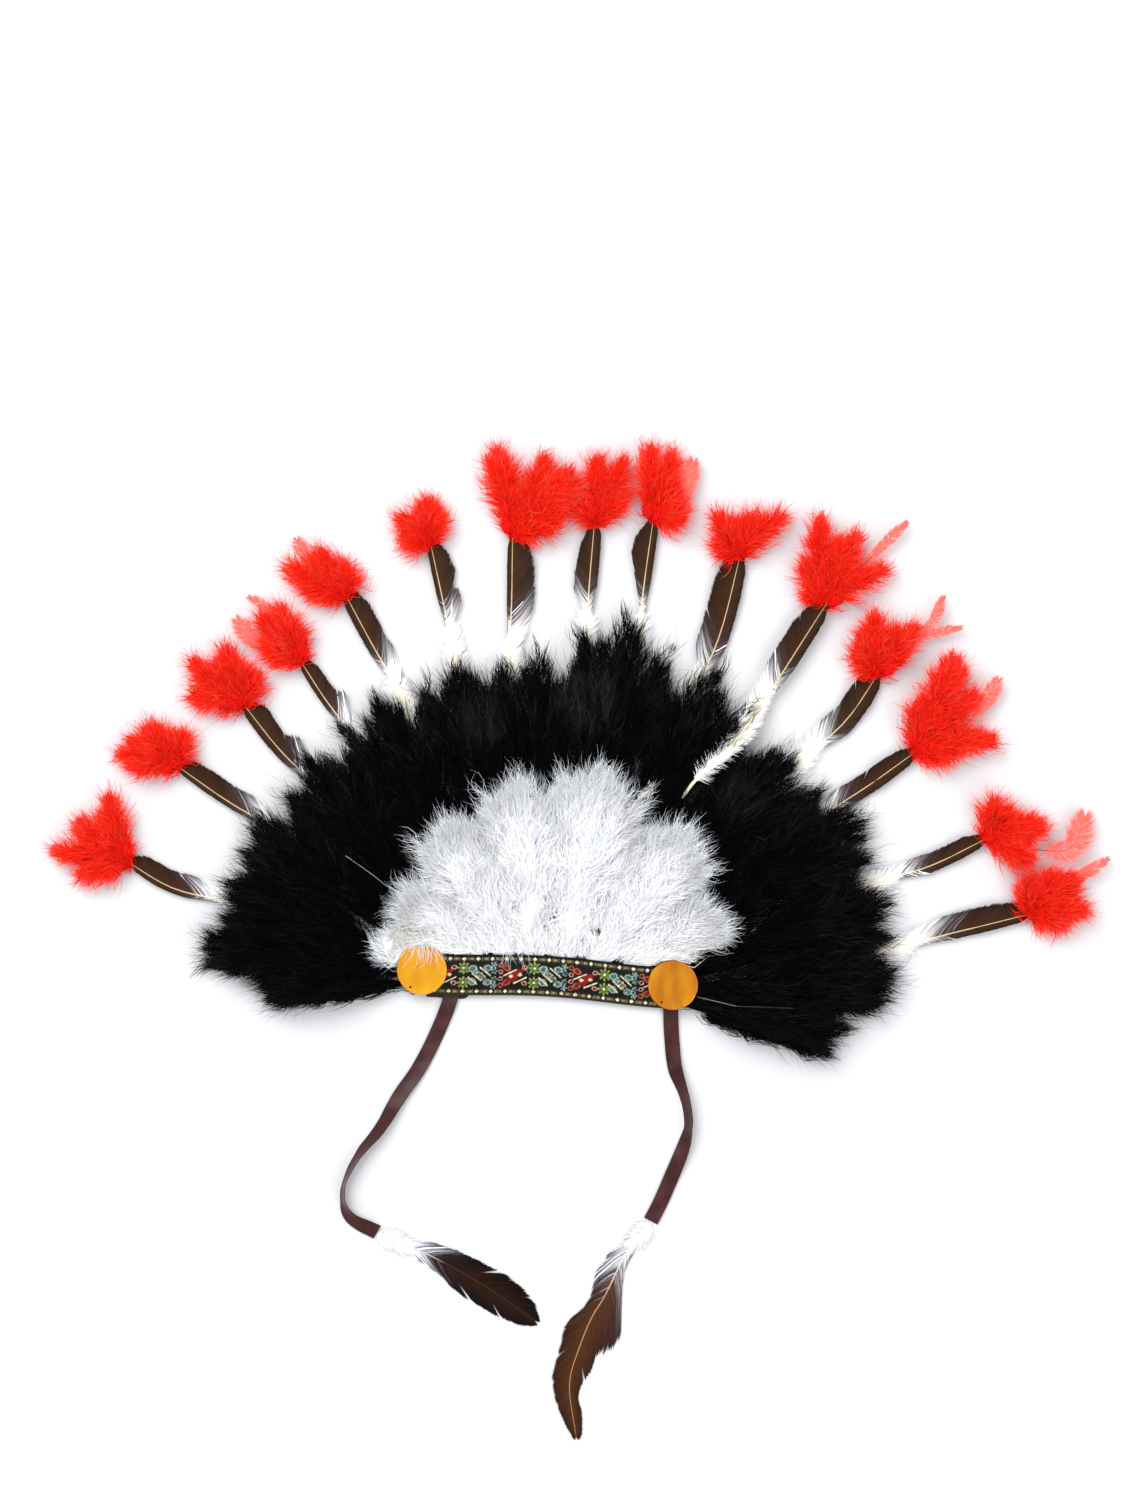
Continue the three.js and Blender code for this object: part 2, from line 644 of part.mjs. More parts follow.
// A puff of short down glued to a feather's tip: three lobes of locks that open from it.
function puffGeometry({ bearing, spread, left, middle, right }, tip, seed) {
  const { bottom, crown, side, skirt, shoulder, shoulderReach, locks, start } = PUFF;
  const opening = spread + shoulder;
  const reachAt = (turn) => {
    const sideReach = turn > 0 ? left : right;
    const share = Math.abs(turn) / spread;
    if (share <= 1) {
      return lerp(middle, sideReach, smoothstep(share, 0.2, 1));
    }
    const past = clamp((Math.abs(turn) - spread) / shoulder, 0, 1);
    return sideReach * lerp(1, shoulderReach, past);
  };
  const surface = new Surface();
  const place = (turn, distance, z) => {
    const angle = radians(bearing + turn);
    const x = tip.x + distance * Math.cos(angle);
    return surface.corner(x, tip.y + distance * Math.sin(angle), z);
  };
  const turnAt = (i) => lerp(opening, -opening, i / locks);
  const startTop = place(0, GAP, tip.z + start);
  const startLow = place(0, GAP, tip.z - start);
  const ribs = Array.from({ length: locks + 1 }, (_, i) => {
    const turn = turnAt(i);
    const reach = reachAt(turn);
    const notch = reach * (PUFF.notchAt + 0.07 * ripple(i, seed));
    const mound = reach * PUFF.moundAt;
    return {
      mound: place(turn, mound, crown * (0.92 + 0.08 * ripple(i + 20, seed))),
      top: place(turn, notch, side),
      low: place(turn, notch, bottom + skirt),
      belly: place(turn, mound, bottom),
    };
  });
  for (let i = 0; i < locks; i += 1) {
    const [a, b] = [ribs[i], ribs[i + 1]];
    const turn = (turnAt(i) + turnAt(i + 1)) / 2;
    const reach = reachAt(turn) * (1 + 0.05 * ripple(i + 60, seed));
    const end = place(turn, reach, PUFF.lockZ + (i % 3) * PUFF.lockStep);
    surface.face([startTop, b.mound, a.mound]);
    surface.face([a.mound, b.mound, b.top, a.top]);
    surface.face([a.top, b.top, end]);
    surface.face([a.low, end, b.low]);
    surface.face([a.low, b.low, b.belly, a.belly]);
    surface.face([startLow, a.belly, b.belly]);
    surface.face([a.top, end, a.low]);
    surface.face([b.top, b.low, end]);
  }
  surface.face([startTop, ribs[0].mound, ribs[0].top, ribs[0].low, ribs[0].belly, startLow]);
  const last = ribs[locks];
  surface.face([startTop, startLow, last.belly, last.low, last.top, last.mound]);
  return surface.geometry();
}

// ---- Assembly --------------------------------------------------------------------------------

const FINISHES = {
  cloth: { roughness: 0.9, metalness: 0 },
  feather: { roughness: 0.75, metalness: 0 },
  satin: { roughness: 0.45, metalness: 0 },
  gloss: { roughness: 0.15, metalness: 0 },
};

function piece(name, geometry, colour, finish) {
  const material = new THREE.MeshStandardMaterial({ color: colour, ...finish, flatShading: true });
  const mesh = new THREE.Mesh(geometry, material);
  mesh.name = name;
  return mesh;
}

const twoDigits = (index) => String(index + 1).padStart(2, '0');

function browPieces() {
  const discs = [['disc_left', -1], ['disc_right', 1]].map(([name, side]) => {
    const disc = piece(name, discGeometry(), COLOURS.disc, FINISHES.gloss);
    disc.position.set(side * DISC.offset, 0, DISC.bottom);
    return disc;
  });
  return [
    piece('backing_strip', backingGeometry(), COLOURS.black, FINISHES.cloth),
    piece('brow_band', bandGeometry(), COLOURS.band, FINISHES.cloth),
    ...discs,
  ];
}

function tiePieces() {
  const { ribbon, vane } = COLOURS;
  const { satin, feather } = FINISHES;
  return [
    piece('tie_ribbon_left', ribbonGeometry(LEFT_ROUTE), ribbon, satin),
    piece('tie_ribbon_right', ribbonGeometry(RIGHT_ROUTE), ribbon, satin),
    piece('tie_feather_left', tieFeatherGeometry(LEFT_TIE_FEATHER), vane, feather),
    piece('tie_feather_right', tieFeatherGeometry(RIGHT_TIE_FEATHER), vane, feather),
  ];
}

function crownPieces() {
  return OUTER_FEATHERS.flatMap((row, i) => {
    const number = twoDigits(i);
    const tip = outerFeatherCurve(row, i).getPointAt(1);
    const feather = outerFeatherGeometry(row, i);
    const puff = puffGeometry(RED_TIPS[i], tip, i);
    return [
      piece(`outer_feather_${number}`, feather, COLOURS.vane, FINISHES.feather),
      piece(`red_tip_${number}`, puff, COLOURS.red, FINISHES.cloth),
    ];
  });
}

function fanPieces() {
  const black = wedges(BLACK_PLUMES, BLACK.edge).map((plume, i) =>
    piece(`black_plume_${twoDigits(i)}`, blackPlumeGeometry(plume, i), COLOURS.black, FINISHES.cloth));
  const white = wedges(WHITE_PLUMES, WHITE.edge).map((plume, i) =>
    piece(`white_plume_${twoDigits(i)}`, whitePlumeGeometry(plume, i), COLOURS.white, FINISHES.cloth));
  return [...black, ...white];
}

const headdress = new THREE.Group();
headdress.add(...browPieces(), ...tiePieces(), ...crownPieces(), ...fanPieces());

export default headdress;
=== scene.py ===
# A feathered costume headdress that lies face up on a table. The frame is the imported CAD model:
# metres, X along the brow band, Y towards the crown, Z up from the table. Tables and sizes here
# are in millimetres, as in the CAD source, and are turned into metres where a mesh is made.
import logging
import math
from dataclasses import dataclass, field
from enum import Enum

import bpy
import numpy as np
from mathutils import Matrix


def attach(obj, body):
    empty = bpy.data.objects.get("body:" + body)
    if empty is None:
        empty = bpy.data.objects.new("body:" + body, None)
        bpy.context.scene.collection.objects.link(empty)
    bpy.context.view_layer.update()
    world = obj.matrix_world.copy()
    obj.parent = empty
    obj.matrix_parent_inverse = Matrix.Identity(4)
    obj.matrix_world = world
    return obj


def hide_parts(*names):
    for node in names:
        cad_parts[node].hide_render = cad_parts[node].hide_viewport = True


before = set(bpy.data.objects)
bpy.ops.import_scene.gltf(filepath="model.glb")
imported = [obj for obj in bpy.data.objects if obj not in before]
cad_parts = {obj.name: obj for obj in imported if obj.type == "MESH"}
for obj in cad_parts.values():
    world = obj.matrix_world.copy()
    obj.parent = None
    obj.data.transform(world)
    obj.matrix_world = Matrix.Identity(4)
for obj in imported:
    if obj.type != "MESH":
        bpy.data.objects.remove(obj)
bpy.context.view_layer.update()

LOG = logging.getLogger("headdress")
MM = 0.001
UP = np.array([0.0, 0.0, 1.0])
TABLE = 0.35  # how near the table a barb may come

BRIGHTEST = 0.97  # no barb returns more light than this
WAVE_STEPS = 20  # how finely a wave texture divides a unit

BAND_HALF_LENGTH, BAND_WIDTH, BAND_MID_Y, BAND_DROP = 80.0, 27.4, 0.6, 3.2
DISC_OFFSET, DISC_RADIUS = 83.75, 16.5

Array = np.ndarray
Colour = tuple[float, float, float]
Pairs = tuple[tuple[float, float], ...]
Rng = np.random.Generator
Socket = bpy.types.NodeSocket
Material = bpy.types.Material


# ---- Small helpers ----


def linear(colour: Colour | Array) -> Array:
    """Returns a 0 to 255 display colour as linear light."""
    share = np.asarray(colour, float) / 255
    return np.where(share <= 0.04045, share / 12.92, ((share + 0.055) / 1.055) ** 2.4)


def unit(vectors: Array) -> Array:
    """Returns rows scaled to length 1."""
    return vectors / np.maximum(np.linalg.norm(vectors, axis=-1, keepdims=True), 1e-9)


def smooth(value: Array, low: float, high: float) -> Array:
    """Returns 0 at low and 1 at high, with an even start and end."""
    share = np.clip((np.asarray(value, float) - low) / (high - low), 0, 1)
    return share * share * (3 - 2 * share)


def blend(first: Array, second: Array, share: Array) -> Array:
    """Returns first where share is 0 and second where it is 1, row by row."""
    share = np.asarray(share, float)[..., None]
    return first * (1 - share) + second * share


def heading(bearing: Array, rise: Array) -> Array:
    """Returns unit vectors for a bearing round Z and a rise above the table, in degrees."""
    turn, lift = np.radians(bearing), np.radians(rise)
    return np.stack([np.cos(turn) * np.cos(lift), np.sin(turn) * np.cos(lift), np.sin(lift)], -1)


def leaning(first: Array, second: Array, angle: Array) -> Array:
    """Returns each row of first turned towards second by an angle in radians."""
    return first * np.cos(angle)[:, None] + second * np.sin(angle)[:, None]


def clumped(count: int, step: tuple[float, float], spread: float, rng: Rng) -> Array:
    """Draws values that neighbours share, as barbs do that cling together.

    Args:
        count: How many values.
        step: The least and greatest share of a clump that one value takes.
        spread: How far the values stray from 0.
        rng: The random source.

    Returns:
        The values.
    """
    group = np.floor(np.cumsum(rng.uniform(*step, count))).astype(int)
    return rng.normal(0, spread, int(group.max()) + 1)[group]


def band_middle(x: Array) -> Array:
    """Returns where the band's middle line lies, which bows up a little."""
    return BAND_MID_Y - BAND_DROP * np.sin(np.pi / 2 * np.clip(x / BAND_HALF_LENGTH, -1, 1)) ** 2


def cad_skin(node: str) -> tuple[Array, Array]:
    """Copies a CAD node's skin.

    Args:
        node: The CAD node.

    Returns:
        Its corners in millimetres, with doubles merged, and its triangles.
    """
    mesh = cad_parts[node].data
    corners = np.zeros(len(mesh.vertices) * 3)
    mesh.vertices.foreach_get("co", corners)
    mesh.calc_loop_triangles()
    triangles = np.zeros(len(mesh.loop_triangles) * 3, np.int32)
    mesh.loop_triangles.foreach_get("vertices", triangles)
    corners = corners.reshape(-1, 3) / MM
    _, first, same = np.unique(np.round(corners, 2), axis=0, return_index=True, return_inverse=True)
    triangles = same.reshape(-1)[triangles].reshape(-1, 3)
    whole = (triangles[:, 0] != triangles[:, 1]) & (triangles[:, 1] != triangles[:, 2])
    return corners[first], triangles[whole & (triangles[:, 0] != triangles[:, 2])]


def scattered(corners: Array, triangles: Array, count: int, rng: Rng, share: Array) -> tuple[Array, Array]:
    """Spreads places over a skin.

    Args:
        corners: The skin's corners.
        triangles: Its triangles.
        count: How many places.
        rng: The random source.
        share: How much likelier each triangle is than its area says.

    Returns:
        The places and the skin's outward unit vectors there.
    """
    a, b, c = (corners[triangles[:, i]] for i in range(3))
    cross = np.cross(b - a, c - a)
    size = np.linalg.norm(cross, axis=1) * share
    pick = rng.choice(len(size), count, p=size / size.sum())
    u, v = rng.random((2, count, 1))
    u, v = np.where(u + v > 1, 1 - u, u), np.where(u + v > 1, 1 - v, v)
    return a[pick] + u * (b[pick] - a[pick]) + v * (c[pick] - a[pick]), unit(cross[pick])


class Course:
    """A smooth line through stops, measured by its length."""

    def __init__(self, stops: Array, per_span: int = 24) -> None:
        """Lays the line.

        Args:
            stops: The places that it passes.
            per_span: How many steps there are between two stops.
        """
        stops = np.asarray(stops, float)
        ends = np.vstack([2 * stops[0] - stops[1], stops, 2 * stops[-1] - stops[-2]])
        rows = []
        for a, b, c, d in zip(ends, ends[1:], ends[2:], ends[3:]):
            gaps = [max(float(np.linalg.norm(q - p)) ** 0.5, 1e-4) for p, q in ((a, b), (b, c), (c, d))]
            leave = (b - a) / gaps[0] - (c - a) / (gaps[0] + gaps[1]) + (c - b) / gaps[1]
            reach = (c - b) / gaps[1] - (d - b) / (gaps[1] + gaps[2]) + (d - c) / gaps[2]
            t = np.linspace(0, 1, per_span, endpoint=False)[:, None]
            leave, reach = leave * gaps[1], reach * gaps[1]
            square = 3 * (c - b) - 2 * leave - reach
            cube = 2 * (b - c) + leave + reach
            rows.append(b + leave * t + square * t**2 + cube * t**3)
        self.points = np.vstack([*rows, stops[-1:]])
        steps = np.linalg.norm(np.diff(self.points, axis=0), axis=1)
        self.marks = np.concatenate([[0.0], np.cumsum(steps)])
        self.length = float(self.marks[-1])

    def at(self, distance: Array) -> Array:
        """Returns the places at distances from the start."""
        return np.stack([np.interp(distance, self.marks, self.points[:, i]) for i in range(3)], -1)

    def along(self, distance: Array) -> Array:
        """Returns the line's unit headings at distances from the start."""
        return unit(self.at(np.minimum(distance + 1, self.length)) - self.at(np.maximum(distance - 1, 0)))


# ---- Finishes ----


class Slot(Enum):
    """The record's material slots."""

    BLACK = "black_marabou"
    WHITE = "white_marabou"
    RED = "red_marabou"
    BARRED = "barred_feather"
    TIE = "tie_feather"
    BAND = "jacquard"
    BACKING = "backing_felt"
    RIBBON = "satin_ribbon"
    SEQUIN = "sequin"


class Nodes:
    """Builds one node material, with its shader ready."""

    def __init__(self, name: str) -> None:
        """Starts a material.

        Args:
            name: The material's name.
        """
        self.material = bpy.data.materials.new(name)
        self.material.use_nodes = True
        self.tree = self.material.node_tree
        self.shader = next(n for n in self.tree.nodes if n.type == "BSDF_PRINCIPLED")

    def add(self, kind: str, **settings: object) -> bpy.types.Node:
        """Adds a node.

        Args:
            kind: The node's type.
            settings: Its properties, or input values under the input's name.

        Returns:
            The node.
        """
        node = self.tree.nodes.new(kind)
        for key, value in settings.items():
            if key.startswith("in_"):
                node.inputs[key[3:].replace("_", " ")].default_value = value
            else:
                setattr(node, key, value)
        return node

    def link(self, source: Socket, target: Socket) -> None:
        """Joins two sockets."""
        self.tree.links.new(source, target)

    def noise(self, scale: float, detail: float = 2.0, stretch: Colour = (1, 1, 1)) -> Socket:
        """Adds noise on the object's own coordinates.

        Args:
            scale: Features to a metre.
            detail: How many finer layers it has.
            stretch: Its scale along each axis.

        Returns:
            The noise value.
        """
        place = self.add("ShaderNodeTexCoord").outputs["Object"]
        mapping = self.add("ShaderNodeMapping")
        mapping.inputs["Scale"].default_value = stretch
        self.link(place, mapping.inputs["Vector"])
        texture = self.add("ShaderNodeTexNoise", in_Scale=scale, in_Detail=detail)
        self.link(mapping.outputs["Vector"], texture.inputs["Vector"])
        return texture.outputs["Fac"]

    def ranged(self, value: Socket, low: float, high: float, first: float = 0.3, last: float = 0.7) -> Socket:
        """Spreads a value over another range.

        Args:
            value: The value.
            low: What first becomes.
            high: What last becomes.
            first: Where the value's own range starts, which for noise is about 0.3.
            last: Where it ends.

        Returns:
            The spread value.
        """
        spread = self.add("ShaderNodeMapRange", in_From_Min=first, in_From_Max=last)
        spread.inputs["To Min"].default_value = low
        spread.inputs["To Max"].default_value = high
        self.link(value, spread.inputs["Value"])
        return spread.outputs["Result"]

    def ramp(self, source: Socket, first: float, deep: Array, last: float, pale: Array) -> Socket:
        """Turns a value into a colour.

        Args:
            source: The value.
            first: The value up to which the colour is deep.
            deep: A display colour.
            last: The value from which the colour is pale.
            pale: A display colour.

        Returns:
            The colour.
        """
        node = self.add("ShaderNodeValToRGB")
        for element, position, colour in zip(node.color_ramp.elements, (first, last), (deep, pale)):
            element.position = position
            element.color = (*linear(colour), 1)
        self.link(source, node.inputs["Fac"])
        return node.outputs["Color"]

    def shaded(self, colour: Socket, value: Socket) -> Socket:
        """Makes a colour lighter or darker.

        Args:
            colour: The colour.
            value: How many times as light it becomes.

        Returns:
            The new colour.
        """
        product = self.add("ShaderNodeVectorMath", operation="SCALE")
        self.link(colour, product.inputs[0])
        self.link(value, product.inputs["Scale"])
        return product.outputs["Vector"]

    def bump(self, height: Socket, depth: float, strength: float) -> None:
        """Raises the surface.

        Args:
            height: Where it's raised, from 0 to 1.
            depth: How far it's raised at most, in metres.
            strength: How much of that shows.
        """
        node = self.add("ShaderNodeBump", in_Strength=strength, in_Distance=depth)
        self.link(height, node.inputs["Height"])
        self.link(node.outputs["Normal"], self.shader.inputs["Normal"])

    def base(self, colour: Socket) -> None:
        """Gives the shader its colour."""
        self.link(colour, self.shader.inputs["Base Color"])

    def rough(self, roughness: Socket) -> None:
        """Gives the shader its roughness."""
        self.link(roughness, self.shader.inputs["Roughness"])

    def preset(self, **values: float) -> None:
        """Sets constants on the shader, each under its input's name."""
        for key, value in values.items():
            self.shader.inputs[key.replace("_", " ")].default_value = value


@dataclass(frozen=True)
class BarbFinish:
    """A feather's barbs: each has its own tint, broken up by fine down."""

    name: str
    roughness: float
    specular: float
    sheen: float = 0.0
    grain: float = 700.0  # features to a metre
    contrast: float = 0.14

    def material(self) -> Material:
        """Returns the finish."""
        nodes = Nodes(self.name)
        tint = nodes.add("ShaderNodeAttribute", attribute_name="tint")
        grain = nodes.noise(self.grain, 3)
        value = nodes.ranged(grain, 1 - self.contrast, 1 + self.contrast)
        nodes.base(nodes.shaded(tint.outputs["Color"], value))
        nodes.rough(nodes.ranged(nodes.noise(self.grain / 4), self.roughness - 0.06, self.roughness + 0.06))
        nodes.bump(grain, 0.0003, 0.35)
        nodes.preset(Specular_IOR_Level=self.specular, Sheen_Weight=self.sheen, Sheen_Roughness=0.4)
        return nodes.material


@dataclass(frozen=True)
class WovenFinish:
    """A woven trim: the chart's colours with the weave's ribs across them both ways."""

    name: str
    rib: float = 0.00052  # how far apart the ribs lie over two pi, in metres

    def material(self) -> Material:
        """Returns the finish."""
        nodes = Nodes(self.name)
        tint = nodes.add("ShaderNodeAttribute", attribute_name="tint")
        chart = nodes.add("ShaderNodeUVMap", uv_map="weave").outputs["UV"]
        both = nodes.add("ShaderNodeMath", operation="MULTIPLY")
        for direction, socket in zip("XY", both.inputs):
            wave = nodes.add(
                "ShaderNodeTexWave", wave_type="BANDS", bands_direction=direction,
                in_Scale=1 / (WAVE_STEPS * self.rib), in_Distortion=0.6, in_Detail=1.0,
            )
            nodes.link(chart, wave.inputs["Vector"])
            nodes.link(wave.outputs["Fac"], socket)
        woven = both.outputs["Value"]
        shade = nodes.add("ShaderNodeMath", operation="MULTIPLY")
        nodes.link(nodes.ranged(woven, 0.72, 1.25, 0, 1), shade.inputs[0])
        nodes.link(nodes.ranged(nodes.noise(900, 3), 0.9, 1.1), shade.inputs[1])
        nodes.base(nodes.shaded(tint.outputs["Color"], shade.outputs["Value"]))
        nodes.rough(nodes.ranged(nodes.noise(400), 0.55, 0.75))
        nodes.bump(woven, 0.00022, 0.7)
        nodes.preset(Specular_IOR_Level=0.15)
        return nodes.material


@dataclass(frozen=True)
class SatinFinish:
    """A satin ribbon: fine cross ribs, a sheen along the warp, and paler cloudy patches painted in as more
    sheen.
    """

    name: str
    dark: Colour = (40, 8, 7)
    # The paler colour of the cloudy patches, which is painted sheen.
    light: Colour = (64, 24, 20)

    def material(self) -> Material:
        """Returns the finish."""
        nodes = Nodes(self.name)
        chart = nodes.add("ShaderNodeUVMap", uv_map="weave").outputs["UV"]
        wave = nodes.add("ShaderNodeTexWave", bands_direction="X", in_Scale=280.0, in_Distortion=0.4)
        nodes.link(chart, wave.inputs["Vector"])
        ribs = wave.outputs["Fac"]
        cloudy = nodes.noise(110, 3)
        # The paler cloudy patches are painted sheen; the shader's anisotropy gives the real one.
        colour = nodes.ramp(cloudy, 0.3, self.dark, 0.72, self.light)
        nodes.base(nodes.shaded(colour, nodes.ranged(ribs, 0.85, 1.1, 0, 1)))
        nodes.rough(nodes.ranged(cloudy, 0.3, 0.42))
        nodes.bump(ribs, 0.00006, 0.4)
        nodes.preset(Anisotropic=0.5, Specular_IOR_Level=0.25)
        return nodes.material


@dataclass(frozen=True)
class FeltFinish:
    """Black felt with short fibres."""

    name: str
    colour: Colour
    fibre: float = 2.2  # how much paler the fibres are than the felt

    def material(self) -> Material:
        """Returns the finish."""
        nodes = Nodes(self.name)
        fibres = nodes.noise(1500, 4)
        nodes.base(nodes.ramp(fibres, 0.35, self.colour, 0.75, self.fibre * np.array(self.colour)))
        nodes.bump(fibres, 0.0003, 0.6)
        nodes.preset(Roughness=0.95, Sheen_Weight=0.3)
        return nodes.material


@dataclass(frozen=True)
class SequinFinish:
    """A glossy gold plastic disc whose face is a little wavy, with pale streaks along the waves painted in as
    reflections.
    """

    name: str
    deep: Colour
    # The colour of the pale streaks, which are painted reflection.
    pale: Colour

    def material(self) -> Material:
        """Returns the finish."""
        nodes = Nodes(self.name)
        wavy = nodes.noise(70, 1.5, (1.8, 0.55, 1))
        # The pale streaks in the colour are painted reflection; the bump gives the real waves.
        nodes.base(nodes.ramp(wavy, 0.38, self.deep, 0.66, self.pale))
        nodes.rough(nodes.ranged(nodes.noise(300), 0.1, 0.2))
        nodes.bump(wavy, 0.0012, 0.35)
        nodes.preset(Metallic=0.8, Coat_Weight=0.25, Coat_Roughness=0.06)
        return nodes.material


# ---- Meshes of many barbs ----


@dataclass
class Barbs:
    """Many barbs, one to a row: each is a tapered strip on a curve from start to end."""

    start: Array
    end: Array
    bow: Array  # how far the middle stands off the straight line
    width: Array
    roll: Array  # how far the strip is turned about its own length, in radians
    root: Array  # colours at the start and at the end
    tip: Array
    stations: tuple[float, ...] = (0.0, 0.5)
    taper: tuple[float, ...] = (0.75, 1.0)

    def kept(self, keep: Array) -> "Barbs":
        """Returns the barbs that keep marks."""
        rows = (self.start, self.end, self.bow, self.width, self.roll, self.root, self.tip)
        return Barbs(*(row[keep] for row in rows), self.stations, self.taper)

    def mesh(self) -> tuple[Array, Array, Array]:
        """Returns the strips' corners, triangles and colours."""
        count, steps = len(self.start), len(self.stations)
        corners, tints = [], []
        span = self.end - self.start
        for t, share in zip(self.stations, self.taper):
            centre = self.start + span * t + 4 * t * (1 - t) * self.bow
            forward = unit(span + 4 * (1 - 2 * t) * self.bow)
            left = unit(np.cross(UP, forward) + 1e-6)
            above = np.cross(forward, left)
            half = leaning(left, above, self.roll) * (self.width * share / 2)[:, None]
            colour = self.root * (1 - t) + self.tip * t
            corners += [centre + half, centre - half]
            tints += [colour, colour]
        corners.append(self.end)
        tints.append(self.tip)
        points = np.stack(corners, 1)
        points[..., 2] = np.maximum(points[..., 2], TABLE)
        size = 2 * steps + 1  # corners to a strip
        pattern = []
        for i in range(0, 2 * steps - 2, 2):
            pattern += [(i, i + 1, i + 3), (i, i + 3, i + 2)]
        pattern.append((size - 3, size - 2, size - 1))
        base = (np.arange(count) * size)[:, None, None]
        triangles = (base + np.array(pattern)).reshape(-1, 3)
        return points.reshape(-1, 3), triangles, np.stack(tints, 1).reshape(-1, 3)


class Gathering:
    """Parts that are joined into one mesh, with a tint at each corner."""

    def __init__(self) -> None:
        """Starts empty."""
        self.points: list[Array] = []
        self.triangles: list[Array] = []
        self.tints: list[Array] = []
        self.patches: list[int] = []  # how many corners share one patch of the bake's map
        self.count = 0

    def add(self, points: Array, triangles: Array, tints: Array, patch: int = 0) -> None:
        """Adds a part.

        Args:
            points: Its corners in millimetres.
            triangles: Its triangles.
            tints: A colour for each corner, or one for all.
            patch: How many corners in a row make one barb, or 0 for a whole skin.
        """
        self.points.append(points)
        self.triangles.append(triangles + self.count)
        self.tints.append(np.broadcast_to(tints, points.shape))
        self.patches.append(patch)
        self.count += len(points)

    def add_barbs(self, barbs: Barbs) -> None:
        """Adds barbs."""
        self.add(*barbs.mesh(), patch=2 * len(barbs.stations) + 1)

    def add_tube(
        self, course: Course, radius: Array, root: Array, tip: Array, sides: int = 6,
        over: tuple[float, float] = (0, 1),
    ) -> None:
        """Adds a tapered round rod, such as a quill.

        Args:
            course: Its middle line.
            radius: Its radius at evenly spaced sections.
            root: Its colour at the start.
            tip: Its colour at the end.
            sides: How many faces go round it.
            over: Between which shares of its length one colour turns into the other.
        """
        distance = np.linspace(0, course.length, len(radius))
        centre, forward = course.at(distance), course.along(distance)
        left = unit(np.cross(UP, forward))
        above = np.cross(forward, left)
        turn = np.arange(sides) * 2 * math.pi / sides
        rings = (
            centre[:, None]
            + left[:, None] * (np.cos(turn)[None, :, None] * radius[:, None, None])
            + above[:, None] * (np.sin(turn)[None, :, None] * radius[:, None, None])
        )
        count = len(radius)
        triangles = []
        for i in range(count - 1):
            for k in range(sides):
                a, b = i * sides + k, i * sides + (k + 1) % sides
                triangles += [(a, b + sides, b), (a, a + sides, b + sides)]
        last = (count - 1) * sides
        for k in range(1, sides - 1):
            triangles += [(0, k, k + 1), (last, last + k + 1, last + k)]
        share = np.clip((np.linspace(0, 1, count) - over[0]) / (over[1] - over[0]), 0, 1)
        self.add(rings.reshape(-1, 3), np.array(triangles), blend(root, tip, np.repeat(share, sides)))

    def chart(self) -> Array:
        """Lays out the bake's map: whole skins in a strip at its foot, and a small patch for each barb.

        Returns:
            A place on the map for each corner.
        """
        barbs = sum(len(p) // n for p, n in zip(self.points, self.patches) if n)
        columns = max(int(math.sqrt(barbs)), 1)
        rows = max(-(-barbs // columns), 1)
        places, done = [], 0
        for points, patch in zip(self.points, self.patches):
            if not patch:
                low, high = points.min(0), points.max(0)
                flat = (points - low)[:, :2] / np.maximum(high - low, 1e-6)[:2]
                places.append(flat * (1, 0.1))
                continue
            index = np.arange(len(points)) // patch
            step = np.arange(len(points)) % patch
            cell = index + done
            u = (cell % columns + 0.2 + 0.6 * (step % 2)) / columns
            v = (cell // columns + 0.1 + 0.8 * (step // 2) / ((patch - 1) / 2)) / rows
            places.append(np.stack([u, 0.12 + 0.88 * v], 1))
            done += len(points) // patch
        return np.vstack(places)

    def build(self, name: str, material: Material) -> bpy.types.Object:
        """Makes the mesh object.

        Args:
            name: Its name.
            material: Its finish.

        Returns:
            The object, at the origin.
        """
        points = np.vstack(self.points) * MM
        triangles = np.vstack(self.triangles).astype(np.int32)
        mesh = bpy.data.meshes.new(name)
        mesh.vertices.add(len(points))
        mesh.vertices.foreach_set("co", points.astype(np.float32).ravel())
        mesh.loops.add(len(triangles) * 3)
        mesh.loops.foreach_set("vertex_index", triangles.ravel())
        mesh.polygons.add(len(triangles))
        mesh.polygons.foreach_set("loop_start", np.arange(0, len(triangles) * 3, 3, dtype=np.int32))
        mesh.update(calc_edges=True)
        mesh.validate()
        tint = mesh.attributes.new("tint", "FLOAT_COLOR", "POINT")
        colours = np.hstack([np.vstack(self.tints), np.ones((len(points), 1))])
        tint.data.foreach_set("color", colours.astype(np.float32).ravel())
        layer = mesh.uv_layers.new(name="OFBake")
        corner = np.zeros(len(mesh.loops), np.int32)
        mesh.loops.foreach_get("vertex_index", corner)
        layer.uv.foreach_set("vector", self.chart()[corner].astype(np.float32).ravel())
        mesh.polygons.foreach_set("use_smooth", np.ones(len(mesh.polygons), bool))
        mesh.materials.append(material)
        piece = bpy.data.objects.new(name, mesh)
        bpy.context.scene.collection.objects.link(piece)
        return piece


def settle(piece: bpy.types.Object, node: str) -> None:
    """Puts a finished piece in its CAD node's place and reports it.

    Args:
        piece: The piece.
        node: The CAD node that it stands for.
    """
    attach(piece, "root")
    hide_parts(node)
    LOG.info("%s stands for %s with %d faces", piece.name, node, len(piece.data.polygons))


# ---- Down ----


